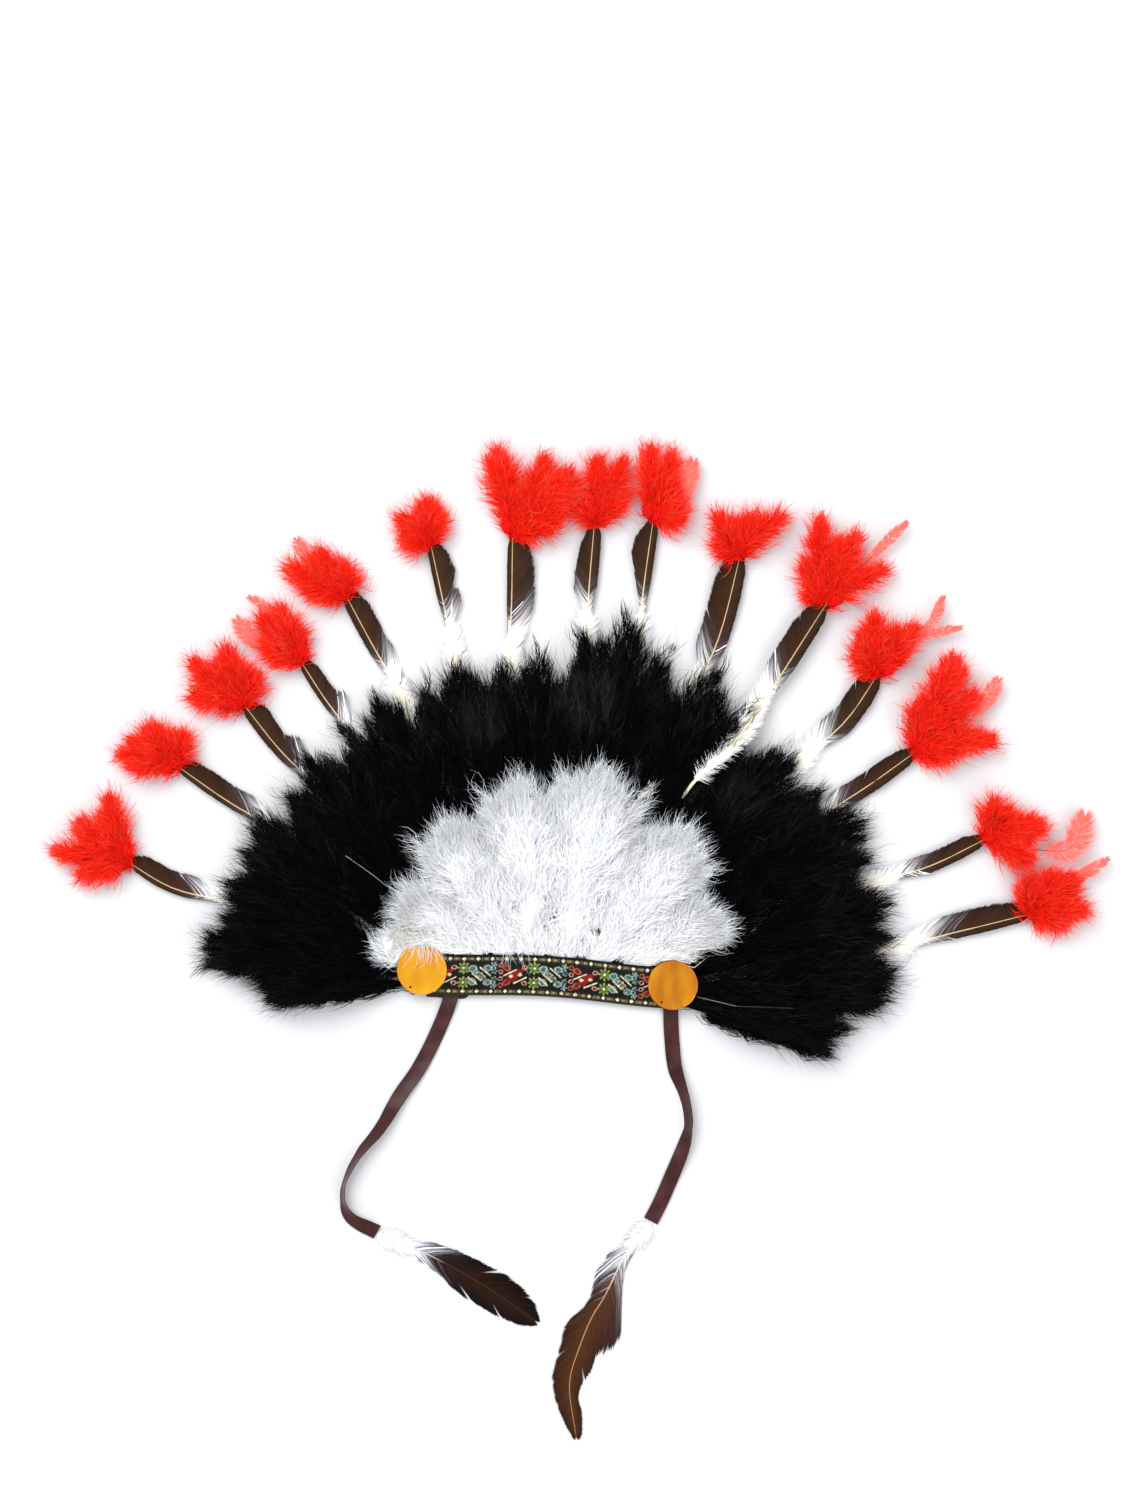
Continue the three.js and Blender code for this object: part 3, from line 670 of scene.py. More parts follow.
@dataclass(frozen=True)
class DownLook:
    """How the barbs of a plume or puff grow and what colours they have."""

    tufts: int
    barbs: int  # in each tuft
    length: tuple[float, float]
    width: tuple[float, float]
    rise: tuple[float, float]
    thick: float  # a tuft's spread at its root
    gather: float  # how much of that is left at its tip
    loose: float  # how far tips stray, as a share of the length
    swing: float  # how far a tuft curves, as a share of the length
    wisps: int
    wisp_length: tuple[float, float]
    wisp_width: tuple[float, float]
    wisp_tints: tuple[Colour, ...]
    ceiling: float
    # The barbs' root colour, which the white and red looks make darker than the tips as painted shade deep in
    # the down.
    root: Colour
    tips: tuple[Colour, ...]
    shade: tuple[float, float]
    # The body's colour under the barbs, which for white and red down is darker than the barbs as painted
    # shade.
    core: Colour
    spread: float = 26.0
    stray: float = 9.0  # how far tufts stray from their bearing, in degrees
    at_root: float = 0.35  # how dense the tufts are at the root, against the rim's 1
    swirl: float = 0.0  # how far whole locks of tufts turn aside, in degrees
    patches: float = 0.0  # how much darker the darkest locks are, as painted shade between them
    overhang: float = 20.0  # how far past the plume's rim a tuft may go
    rounding: float = 0.16  # how much shorter a plume is at its edges than along its shaft
    veil: float = 0.0  # how much darker the tips are that thin out at the rim


def tufted(look: DownLook, place: Array, way: Array, reach: Array, rng: Rng) -> Barbs:
    """Grows tufts of barbs.

    Args:
        look: How they grow.
        place: A root for each tuft.
        way: The unit vector along each tuft.
        reach: How long each tuft is.
        rng: The random source.

    Returns:
        The barbs.
    """
    tufts = len(place)
    swing = rng.normal(0, look.swing, tufts)
    own = np.repeat(np.arange(tufts), look.barbs)
    count = len(own)
    side = np.cross(way, UP)
    jitter = rng.normal(0, look.thick, (count, 3)) * (1, 1, 0.6)
    length = reach[own] * rng.uniform(0.6, 1.08, count)
    start = place[own] + jitter
    end = place[own] + way[own] * length[:, None] + jitter * look.gather
    end += rng.normal(0, 1, (count, 3)) * (look.loose * length)[:, None]
    end[:, 2] = np.minimum(end[:, 2] - 0.02 * length, look.ceiling)
    bow = side[own] * ((swing[own] + rng.normal(0, 0.05, count)) * length)[:, None]
    bow[:, 2] += rng.uniform(0.02, 0.12, count) * length
    bow[:, 2] = np.minimum(bow[:, 2], np.maximum(look.ceiling - (start[:, 2] + end[:, 2]) / 2, 0))
    tips = linear(np.array(look.tips))[rng.integers(0, len(look.tips), tufts)][own]
    shade = (rng.uniform(*look.shade, tufts)[own] * rng.uniform(0.88, 1.12, count))[:, None]
    return Barbs(
        start, end, bow, rng.uniform(*look.width, count), rng.normal(0, 0.5, count),
        np.minimum(linear(look.root) * shade, BRIGHTEST), np.minimum(tips * shade, BRIGHTEST),
    )


def wispy(look: DownLook, place: Array, way: Array, rng: Rng) -> Barbs:
    """Grows single barbs, thin as hair, that stray past an edge.

    Args:
        look: How they grow.
        place: A root for each.
        way: The unit vector along each.
        rng: The random source.

    Returns:
        The barbs.
    """
    count = len(place)
    length = rng.uniform(*look.wisp_length, count)
    end = place + way * length[:, None]
    end[:, 2] = np.minimum(end[:, 2], look.ceiling)
    bow = np.cross(way, UP) * (rng.normal(0, 0.14, count) * length)[:, None]
    bow[:, 2] = 0.06 * length
    tints = linear(np.array(look.wisp_tints))[rng.integers(0, len(look.wisp_tints), count)]
    tints = np.minimum(tints * rng.uniform(*look.shade, count)[:, None], BRIGHTEST)
    return Barbs(
        place, end, bow, rng.uniform(*look.wisp_width, count), rng.normal(0, 0.3, count), tints, tints,
        (0.0, 0.35, 0.7), (1.0, 0.85, 0.6),
    )


def clear_of_brow(barbs: Barbs) -> Array:
    """Finds barbs that don't lie over a disc or the band.

    Args:
        barbs: The barbs.

    Returns:
        True for each that is clear.
    """
    clear = np.ones(len(barbs.start), bool)
    for t in (0.0, 0.5, 0.8, 1.0):
        place = barbs.start + (barbs.end - barbs.start) * t + 4 * t * (1 - t) * barbs.bow
        x, y, z = place.T
        over_disc = np.hypot(np.abs(x) - DISC_OFFSET, y) < DISC_RADIUS + 0.3
        over_band = (np.abs(x) < BAND_HALF_LENGTH) & (np.abs(y - band_middle(x)) < BAND_WIDTH / 2 + 0.2)
        clear &= ~((over_disc & (z > 8)) | (over_band & (z > 5)))
    return clear


@dataclass(frozen=True)
class Fan:
    """A fan of plumes that spreads from a flat half ellipse of roots."""

    half_length: float
    height: float
    mid_y: float

    def shares(self, place: Array, distance: Array) -> tuple[Array, Array]:
        """Compares places with the ellipses that lie at their distances from the roots.

        Args:
            place: The places.
            distance: How far from the roots each ellipse lies.

        Returns:
            Each place's x and y as shares of its ellipse's.
        """
        across = place[:, 0] / (self.half_length + distance)
        return across, (place[:, 1] - self.mid_y) / (self.height + distance)

    def distance(self, place: Array) -> Array:
        """Finds how far from the roots places lie, by halving the range.

        Args:
            place: The places.

        Returns:
            A distance for each.
        """
        near, far = np.zeros(len(place)), np.full(len(place), 500.0)
        for _ in range(24):
            half = (near + far) / 2
            outside = np.hypot(*self.shares(place, half)) > 1
            near, far = np.where(outside, half, near), np.where(outside, far, half)
        return near

    def bearing(self, place: Array, distance: Array) -> Array:
        """Finds the bearing of places.

        Args:
            place: The places.
            distance: How far from the roots each lies.

        Returns:
            Bearings in degrees, from -90 to 270.
        """
        x, y = self.shares(place, distance)
        turn = np.degrees(np.arctan2(y, x))
        return np.where(turn < -90, turn + 360, turn)

    def spot(self, bearing: Array, distance: Array, z: Array) -> Array:
        """Finds places in the fan.

        Args:
            bearing: Their bearings in degrees.
            distance: How far from the roots they lie.
            z: How high they lie.

        Returns:
            The places.
        """
        turn = np.radians(bearing)
        x = (self.half_length + distance) * np.cos(turn)
        y = self.mid_y + (self.height + distance) * np.sin(turn)
        return np.stack([x, y, z], 1)


@dataclass(frozen=True)
class StainAndSheen:
    """A round patch of a fan whose barbs take another colour: on the white fan the down's own cream stain, on
    the black fan a painted sheen of grey.
    """

    x: float
    y: float
    radius: float
    colour: Colour


@dataclass(frozen=True)
class Stray:
    """Some single barbs that lie over the brow."""

    x: float
    y: float
    z: float
    bearing: float
    count: int


@dataclass(frozen=True)
class BareShaft:
    """A thin bare shaft that shows between the barbs."""

    start: tuple[float, float]
    end: tuple[float, float]
    colour: Colour
    radius: float = 0.22


@dataclass(frozen=True)
class PlumeFan:
    """One of the two fans of down plumes."""

    prefix: str
    fan: Fan
    plumes: Pairs  # the bearing and reach of each, from left to right
    look: DownLook
    slot: Slot
    seed: int
    half_wedge: float = 8.0  # how far a plume's outline turns from its shaft, in degrees
    opening: float = 9.0  # how far its barbs' roots do
    edge_spread: float = 0.3  # how far the outermost barbs open past the fan's edge
    hem_tufts: int = 0
    hem_y: float = 17.0
    # patches of other colour: the white fan's real cream stains and the black fan's painted sheen
    stains_and_sheen: tuple[StainAndSheen, ...] = ()
    stain_and_sheen_floor: float = 0.8  # how bright each patch, stain and painted sheen alike, makes what is darker
    strays: dict[int, tuple[Stray, ...]] = field(default_factory=dict)
    shafts: dict[int, tuple[BareShaft, ...]] = field(default_factory=dict)

    def node(self, index: int) -> str:
        """Returns the name of a plume's CAD node."""
        return f"{self.prefix}_{index + 1:02d}"

    def core(self, index: int) -> tuple[Array, Array]:
        """Draws a plume's CAD skin in towards its shaft, for the body under the barbs.

        Args:
            index: The plume's place in the table.

        Returns:
            The corners and triangles.
        """
        bearing, reach = self.plumes[index]
        corners, triangles = cad_skin(self.node(index))
        along = np.minimum(self.fan.distance(corners), reach * 0.9)
        spine = self.fan.spot(bearing, along, np.full(len(corners), corners[:, 2].min() + 1))
        return spine + (corners - spine) * (0.72, 0.72, 0.86), triangles

    def plume(self, index: int) -> Gathering:
        """Grows one plume.

        Args:
            index: Its place in the table.

        Returns:
            Its body, tufts, wisps and bare shafts.
        """
        look, reach = self.look, self.plumes[index][1]
        rng = np.random.default_rng(self.seed + index)
        corners, triangles = cad_skin(self.node(index))
        middle = corners[triangles].mean(1)
        a, b, c = (corners[triangles[:, i]] for i in range(3))
        facing = unit(np.cross(b - a, c - a))[:, 2]
        past = self.fan.distance(middle)
        likely = np.where(facing < -0.2, 0.12, 1.0) * (look.at_root + smooth(past / reach, 0.15, 0.6))
        likely *= past < self.rim(index, middle) + 2
        gathering = Gathering()
        # The body under the barbs; for white down its greyer core colour is painted shade.
        gathering.add(*self.core(index), linear(look.core))
        gathering.add_barbs(self.tufts(index, *scattered(corners, triangles, look.tufts, rng, likely), rng))
        place, _ = scattered(corners, triangles, look.wisps, rng, likely * smooth(past / reach, 0.45, 0.95))
        gathering.add_barbs(self.wisps(index, place, rng))
        gathering.add_barbs(self.hem(index, rng))
        for stray in self.strays.get(index, ()):
            count = stray.count
            foot = np.array([stray.x, stray.y, stray.z]) + rng.normal(0, 1, (count, 3)) * (3.2, 1.2, 0.4)
            way = heading(stray.bearing + rng.normal(0, 16, count), rng.uniform(-4, 4, count))
            gathering.add_barbs(wispy(look, foot, way, rng))
        for shaft in self.shafts.get(index, ()):
            (x0, y0), (x1, y1) = shaft.start, shaft.end
            stops = np.array([[x0, y0, 0.0], [(x0 + x1) / 2 + 1, (y0 + y1) / 2, 0.0], [x1, y1, 0.0]])
            stops[:, 2] = np.minimum(top_height(corners, stops) + 5, look.ceiling)
            colour = linear(shaft.colour)
            gathering.add_tube(Course(stops), np.full(8, shaft.radius), colour, colour, 4)
        return gathering

    def tufts(self, index: int, place: Array, outward: Array, rng: Rng) -> Barbs:
        """Grows a plume's tufts, shorter near its rim and tinted by its stains and painted sheen, by painted
        shade in its locks, and by its rim.

        Args:
            index: The plume's place in the table.
            place: A root for each tuft.
            outward: The skin's outward unit vector there.
            rng: The random source.

        Returns:
            The barbs that keep off the brow.
        """
        look, count = self.look, len(place)
        lock = self.lock(index, place)
        towards = self.towards(index, place, 1.0) + rng.normal(0, look.stray, count) + look.swirl * lock
        rise = rng.uniform(*look.rise, count) * np.clip(outward[:, 2] + 0.25, -0.25, 1)
        room = self.rim(index, place) + look.overhang * rng.uniform(0.2, 2.2, count)
        room = np.clip(room - self.fan.distance(place), 5, None)
        length = np.minimum(rng.uniform(*look.length, count), room)
        barbs = tufted(look, place, heading(towards, rise), length, rng)
        self.tint(barbs)
        # Painted shade: the locks where the slow wave is low come out darker.
        dark = 1 - look.patches * smooth(-np.repeat(lock, look.barbs), -0.2, 1.2)[:, None]
        thin = smooth(self.fan.distance(barbs.end) - self.rim(index, barbs.end), -16, 5)[:, None]
        barbs.root, barbs.tip = barbs.root * dark, barbs.tip * dark * (1 - look.veil * thin)
        return barbs.kept(clear_of_brow(barbs))

    def wisps(self, index: int, place: Array, rng: Rng) -> Barbs:
        """Grows a plume's wisps.

        Args:
            index: The plume's place in the table.
            place: A root for each wisp.
            rng: The random source.

        Returns:
            The barbs that keep off the brow.
        """
        towards = self.towards(index, place, 1.2) + rng.normal(0, 17, len(place))
        barbs = wispy(self.look, place, heading(towards, rng.uniform(-4, 20, len(place))), rng)
        return barbs.kept(clear_of_brow(barbs))

    def hem(self, index: int, rng: Rng) -> Barbs:
        """Grows the tufts that come out from behind the band's upper edge.

        Args:
            index: The place in the table of the plume that they belong to.
            rng: The random source.

        Returns:
            The barbs that keep off the brow.
        """
        count = self.hem_tufts
        turn = self.plumes[index][0] + rng.uniform(-1, 1, count) * self.half_wedge
        past = (self.hem_y + rng.uniform(0, 4, count)) / np.sin(np.radians(np.clip(turn, 24, 156)))
        place = self.fan.spot(turn, past, rng.uniform(8.5, 12, count))
        place[:, 1] = self.fan.mid_y + past * np.sin(np.radians(turn))
        way = heading(turn + rng.normal(0, 24, count), rng.uniform(8, 40, count))
        barbs = tufted(self.look, place, way, rng.uniform(*self.look.length, count), rng)
        return barbs.kept(clear_of_brow(barbs))

    def aside(self, index: int, place: Array, half: float) -> Array:
        """Returns how far each place turns from a plume's shaft, as a share of half, from -1 to 1."""
        turn = self.fan.bearing(place, self.fan.distance(place)) - self.plumes[index][0]
        return np.clip(turn / half, -1, 1)

    def rim(self, index: int, place: Array) -> Array:
        """Returns how far from the roots a plume's rounded outline lies at the bearing of each place."""
        drawn_in = self.look.rounding * self.aside(index, place, self.half_wedge) ** 2
        return self.plumes[index][1] * (1 - drawn_in)

    def lock(self, index: int, place: Array) -> Array:
        """Returns a slow wave between about -1.5 and 1.5 that tufts near one another share."""
        x, y = place[:, 0] * 0.17, place[:, 1] * 0.14
        return np.sin(x + 1.7 * index) * np.cos(y + 0.6 * index) + 0.5 * np.sin((x - y) * 1.7 + index)

    def towards(self, index: int, place: Array, spread: float) -> Array:
        """Returns the bearing of the barbs at places on a plume, which open away from its shaft.

        Args:
            index: The plume's place in the table.
            place: The places.
            spread: How much wider they open than usual.

        Returns:
            Bearings in degrees.
        """
        aside = self.aside(index, place, self.opening)
        if index == 0:
            aside = np.minimum(aside, self.edge_spread)
        if index == len(self.plumes) - 1:
            aside = np.maximum(aside, -self.edge_spread)
        return self.plumes[index][0] + spread * self.look.spread * aside

    def tint(self, barbs: Barbs) -> None:
        """Gives the tufts near each patch its colour in streaks: a real stain on the white fan, painted sheen
        on the black.

        Args:
            barbs: The tufts' barbs, whose colours change.
        """
        x, y = barbs.start[:, 0], barbs.start[:, 1]
        streak = 0.5 + 0.5 * np.sin(x * 0.8 + 2 * np.sin(y * 0.1))
        for stain_and_sheen in self.stains_and_sheen:
            near = 1 - smooth(np.hypot(x - stain_and_sheen.x, y - stain_and_sheen.y), stain_and_sheen.radius * 0.5, stain_and_sheen.radius)
            tone = linear(stain_and_sheen.colour)
            hue, least = tone / tone.max(), tone * self.stain_and_sheen_floor
            barbs.tip = blend(barbs.tip, np.maximum(barbs.tip * hue, least), near * streak)
            barbs.root = blend(barbs.root, np.maximum(barbs.root * hue, least * 0.5), near * streak)

    def build(self, material: Material) -> None:
        """Builds and places every plume.

        Args:
            material: The down's material.
        """
        for index in range(len(self.plumes)):
            node = self.node(index)
            settle(self.plume(index).build(f"{node}_down", material), node)


# ---- Vaned feathers ----


TIP_ANGLE = 14.0  # how far a vane's outermost barbs turn from the shaft, in degrees
NARROW_PROFILE = ((0, 0.5), (0.1, 0.9), (0.3, 1.0), (0.75, 0.95), (1.0, 0.6))  # a narrower side's outline
ROOT_Y = 3.0  # where the long feathers' roots lie
LOWEST_SHAFT = 1.8  # how near the table a shaft's middle may come


@dataclass(frozen=True)
class VaneTints:
    """A vane's colours: from its inner end to its tip, and by the shaft."""

    inner: Colour
    middle: Colour
    tip: Colour
    by_shaft: Colour
    quill: Colour
    rib: Colour
    edge: Colour
    pale: Colour = (242, 242, 244)
    cream: Colour = (243, 239, 222)


@dataclass(frozen=True)
class Feather:
    """A feather with a vane of close barbs on each side of its shaft."""

    course: Course
    vane: float
    left: Pairs  # distances back from the tip, and the width there
    right: Pairs
    tints: VaneTints
    down: float  # how far the down goes on past the vane
    down_length: float
    angle: float = 38.0
    pitch: float = 0.5
    barb_width: float = 1.1
    radius: tuple[float, float, float] = (1.15, 0.6, 0.22)
    blunt: float = 9.0  # how far from the tip the barbs lie almost along the shaft
    streaks: float = 0.05  # the share of pale barbs at the dark vane's inner end
    pale_from: float = 0.76  # how far back they start, as a share of the vane
    fade: float = 0.0  # how much the down thins out towards its inner end
    pale_roots: float = 0.0  # how pale the barbs' roots are at the vane's inner end

    def outline(self, sign: int, back: Array, angle: Array) -> Array:
        """Finds how far out each barb ends, where its slant meets the vane's outline.

        Args:
            sign: 1 for the left side and -1 for the right.
            back: How far back from the tip each barb leaves the shaft.
            angle: How far it turns from the shaft, in radians.

        Returns:
            A width for each.
        """
        rows = np.array(self.left if sign > 0 else self.right)
        width = np.interp(back, rows[:, 0], rows[:, 1])
        for _ in range(12):
            at_end = back - width / np.tan(angle)
            reached = np.interp(at_end, rows[:, 0], rows[:, 1]) * smooth(at_end, -6, 0)
            width = 0.6 * width + 0.4 * reached
        return np.maximum(width, 0.4)

    def roots(self, back: Array, sign: Array | int) -> tuple[Array, Array, Array]:
        """Finds places on the shaft.

        Args:
            back: How far back from the tip each is.
            sign: 1 for the left side and -1 for the right.

        Returns:
            The places, and there the shaft's unit heading and the one out to that side.
        """
        along = self.course.length - back
        forward = self.course.along(along)
        return self.course.at(along), forward, unit(np.cross(UP, forward)) * sign

    def side(self, sign: int, rng: Rng) -> Barbs:
        """Grows the vane on one side.

        Args:
            sign: 1 for the left side and -1 for the right.
            rng: The random source.

        Returns:
            Its barbs.
        """
        back = np.arange(0.3, self.vane, self.pitch)
        count = len(back)
        lean = clumped(count, (0.01, 0.05), 2.2, rng)
        foot, forward, outward = self.roots(back, sign)
        opened = self.angle + lean - 6 * smooth(back / self.vane, 0.6, 1)
        opened = TIP_ANGLE + (opened - TIP_ANGLE) * smooth(back, -6, self.blunt)
        angle = np.radians(opened + rng.normal(0, 0.5, count))
        width = self.outline(sign, back, angle)
        length = width / np.sin(angle) * (1 + rng.normal(0, 0.025, count))
        end = foot + leaning(forward, outward, angle) * length[:, None]
        end[:, 2] += -0.25 + rng.normal(0, 0.12, count) - 0.02 * length
        bow = outward * (0.05 * length)[:, None]
        bow[:, 2] += 0.25
        place = 1 - back / self.vane
        colour = blend(linear(self.tints.middle), linear(self.tints.inner), smooth(1 - place, 0.55, 0.95))
        colour = blend(colour, linear(self.tints.tip), smooth(place, 0.6, 1))
        streak = (1 + 0.3 * np.sin(back * 0.9 + sign) * np.sin(back * 0.23)) * rng.uniform(0.8, 1.2, count)
        colour = colour * streak[:, None]
        root = blend(colour, linear(self.tints.by_shaft), np.full(count, 0.55))
        colour = blend(colour, linear(self.tints.edge), np.full(count, 0.5))
        bleached = smooth(back / self.vane + rng.normal(0, 0.05, count), 0.78, 0.98)
        root = blend(root, linear(self.tints.pale), self.pale_roots * bleached)
        pale = (rng.random(count) < self.streaks) & (back > self.pale_from * self.vane)
        colour[pale], root[pale] = linear(self.tints.pale), linear(self.tints.pale)
        start = foot + outward * 0.1 + UP * 0.1
        tilt = sign * rng.normal(0.12, 0.12, count)
        return Barbs(
            start, end, bow, np.full(count, self.barb_width), tilt, root, colour,
            (0.0, 0.3, 0.82), (1.0, 1.0, 0.8),
        )

    def pale_side(self, sign: int, rng: Rng) -> Barbs:
        """Grows the pale vane below the dark one on one side.

        Args:
            sign: 1 for the left side and -1 for the right.
            rng: The random source.

        Returns:
            Its barbs.
        """
        back = np.arange(self.vane - 4, self.vane + self.down, self.pitch * 0.62)
        count = len(back)
        share = (back - self.vane) / self.down
        rows = np.array(self.left if sign > 0 else self.right)
        start_width = rows[-1, 1]
        width = start_width + (self.down_length - start_width) * smooth(share, 0, 0.45)
        width = width * (1 - self.fade * smooth(share, 0.35, 1))
        lean = clumped(count, (0.04, 0.16), 5, rng)
        foot, forward, outward = self.roots(back, sign)
        angle = np.radians(self.angle + 6 + lean + rng.normal(0, 4, count) + 12 * share)
        length = width / np.sin(angle) * rng.uniform(0.75, 1.08, count)
        end = foot + leaning(forward, outward, angle) * length[:, None]
        end[:, 2] += -0.3 + rng.normal(0, 0.5, count)
        bow = outward * (0.07 * length)[:, None] + UP * 0.3
        tint = linear(self.tints.pale) * rng.uniform(0.93, 1.0, count)[:, None]
        root = linear(self.tints.cream) * rng.uniform(0.9, 1.0, count)[:, None]
        return Barbs(
            foot + outward * 0.2, end, bow, rng.uniform(0.5, 1.0, count), sign * rng.normal(0.1, 0.25, count),
            root, tint, (0.0, 0.35), (1.0, 1.0),
        )

    def loose_down(self, rng: Rng) -> Barbs:
        """Grows the fine loose down round the quill below the vane.

        Args:
            rng: The random source.

        Returns:
            Its barbs.
        """
        count = int(self.down * 3.5)
        back = self.vane + (rng.random(count) ** 0.8) * self.down
        sign = rng.choice([-1, 1], count)
        foot, forward, outward = self.roots(back, sign[:, None])
        angle = np.radians(rng.uniform(35, 80, count))
        length = self.down_length * rng.uniform(0.5, 1.2, count)
        end = foot + leaning(forward, outward, angle) * length[:, None]
        end[:, 2] += rng.uniform(-0.6, 2.2, count)
        bow = outward * (rng.normal(0.05, 0.12, count) * length)[:, None]
        tint = linear(self.tints.pale) * rng.uniform(0.85, 1, count)[:, None]
        return Barbs(foot, end, bow, rng.uniform(0.2, 0.4, count), rng.normal(0, 0.5, count), tint, tint)

    def gather(self, rng: Rng) -> Gathering:
        """Grows the whole feather.

        Args:
            rng: The random source.

        Returns:
            The quill, vane and down as one gathering.
        """
        gathering = Gathering()
        stops = np.linspace(0, self.course.length, 30)
        back = self.course.length - stops
        bare, start, tip = self.radius
        size = np.interp(back, [0, self.vane, self.vane + 30], [tip, start, bare])
        bare_share = 1 - self.vane / self.course.length
        over = (bare_share, bare_share + 0.3 * (1 - bare_share))
        gathering.add_tube(self.course, size, linear(self.tints.quill), linear(self.tints.rib), over=over)
        for sign in (1, -1):
            gathering.add_barbs(self.side(sign, rng))
        for sign in (1, -1):
            gathering.add_barbs(self.pale_side(sign, rng))
        gathering.add_barbs(self.loose_down(rng))
        return gathering


def top_height(corners: Array, place: Array) -> Array:
    """Finds the height of the highest of the corners round each place in plan.

    Args:
        corners: A skin's corners.
        place: The places.

    Returns:
        A height for each.
    """
    gap = np.linalg.norm(corners[None, :, :2] - place[:, None, :2], axis=2)
    near = np.argsort(gap, axis=1)[:, :8]
    return corners[near, 2].max(1)


def nearest_height(node: str, place: Array) -> Array:
    """Finds the middle height of a CAD node's skin near each place in plan.

    Args:
        node: The CAD node.
        place: The places.

    Returns:
        A height for each.
    """
    corners, _ = cad_skin(node)
    gap = np.linalg.norm(corners[None, :, :2] - place[:, None, :2], axis=2)
    near = np.argsort(gap, axis=1)[:, :4]
    return corners[near, 2].mean(1)


@dataclass(frozen=True)
class OuterFeather:
    """One long feather of the crown, and the red puff at its tip."""

    inner: tuple[float, float]  # two places that the shaft passes
    middle: tuple[float, float]
    tip: tuple[float, float]
    vane: float  # how long the dark vane is
    left: float  # how wide it is on each side
    right: float
    profile: Pairs = ((0, 0.5), (0.1, 0.82), (0.3, 1.0), (0.8, 1.0), (1.0, 0.9))  # the wider side's outline
    fullness: float = 1.15
    down: float = 40.0  # how far the pale vane goes on below the dark one
    sink: float = 0.0  # how far the quill sinks into the fan past the down
    into_puff: float = 8.0  # how far the shaft goes on into its puff
    bleached: float = 8.0  # how much of the pale end still has dark edges

    def course(self, node: str, root_x: float) -> Course:
        """Lays the shaft from its root under the band, at the CAD node's height.

        Args:
            node: The CAD node.
            root_x: Where along the band the root is.

        Returns:
            The shaft's course.
        """
        end = self.tip + unit(np.subtract(self.tip, self.middle)) * self.into_puff
        plan = Course([(root_x, ROOT_Y, 0), (*self.inner, 0), (*self.middle, 0), (*end, 0)])
        along = np.linspace(0, plan.length, 26)
        stops = plan.at(along)
        stops[:, 2] = nearest_height(node, stops)
        hidden = plan.length - self.into_puff - self.vane - self.down
        stops[:, 2] -= self.sink * (1 - smooth(along, hidden - 10, hidden + 20))
        stops[:, 2] = np.maximum(stops[:, 2], LOWEST_SHAFT)
        return Course(stops, 6)

    def widths(self, width: float, wide: bool) -> Pairs:
        """Finds the vane's widths on one side.

        Args:
            width: How wide it is there at most.
            wide: Whether this is the wider side.

        Returns:
            Distances back from the tip, and the width at each.
        """
        rows = [(0.0, 0.5 * width)]
        for back, share in self.profile if wide else NARROW_PROFILE:
            rows.append((self.into_puff + back * self.vane, share * width * self.fullness))
        return tuple(rows)

    def feather(self, node: str, root_x: float, tints: VaneTints) -> Feather:
        """Describes the feather that stands for a CAD node.

        Args:
            node: The CAD node.
            root_x: Where along the band the root is.
            tints: Its colours.

        Returns:
            The feather.
        """
        return Feather(
            course=self.course(node, root_x),
            vane=self.into_puff + self.vane + self.bleached,
            left=self.widths(self.left, self.left > self.right),
            right=self.widths(self.right, self.right > self.left),
            tints=tints, down=self.down - self.bleached, down_length=9.5,
            fade=0.75 if self.sink else 0.0, pale_roots=0.95,
        )


@dataclass(frozen=True)
class TieFeather:
    """One of the brown feathers that hang on the ribbons."""

    node: str
    shaft: Pairs  # where its shaft passes
    vane: float  # how long its dark vane is
    left: Pairs  # distances back from the tip, and the width there
    right: Pairs
    tints: VaneTints
    seed: int
    height: float = 1.3

    def build(self, material: Material) -> None:
        """Builds and places the feather.

        Args:
            material: The vane's material.
        """
        course = Course([(x, y, self.height) for x, y in self.shaft])
        feather = Feather(
            course=course, vane=self.vane, left=self.left, right=self.right, tints=self.tints,
            down=course.length - self.vane, down_length=9, angle=31, pitch=0.42, radius=(0.9, 0.7, 0.25),
            blunt=18, streaks=0.3, pale_from=0.9, pale_roots=0.9,
        )
        gathering = feather.gather(np.random.default_rng(self.seed))
        settle(gathering.build(f"{self.node}_vane", material), self.node)


@dataclass(frozen=True)
class Hackle:
    """A small soft feather in a red puff: the places that its shaft passes, and its barbs' length."""

    stops: Pairs
    width: float


@dataclass(frozen=True)
class Stem:
    """The soft stem of a puff's lobe."""

    hub: Array  # where it starts
    bearing: float
    length: float
    curve: float  # how far it turns aside by its end, in degrees
    rise: float = 4.0  # how steeply it leaves the table, in degrees

    def roots(self, count: int, low: float, rng: Rng) -> tuple[Array, Array, Array]:
        """Picks places along the stem, and a way out from it at each.

        Args:
            count: How many.
            low: The share of the stem's length at which they start.
            rng: The random source.

        Returns:
            Each one's share of the stem's length, its place and its unit heading.
        """
        share = low + (1 - low) * rng.random(count) ** 0.8
        forward = heading(self.bearing + self.curve * share, np.full(count, self.rise))
        place = self.hub + forward * (self.length * share)[:, None]
        place[:, 2] += 3.5 * np.sin(np.pi * share)
        side = unit(np.cross(UP, forward))
        round_it = np.radians(rng.uniform(-35, 215, count))
        opening = np.radians(rng.normal(54, 13, count) - 30 * smooth(share, 0.6, 1))
        return share, place, unit(leaning(forward, leaning(side, UP, round_it), opening))


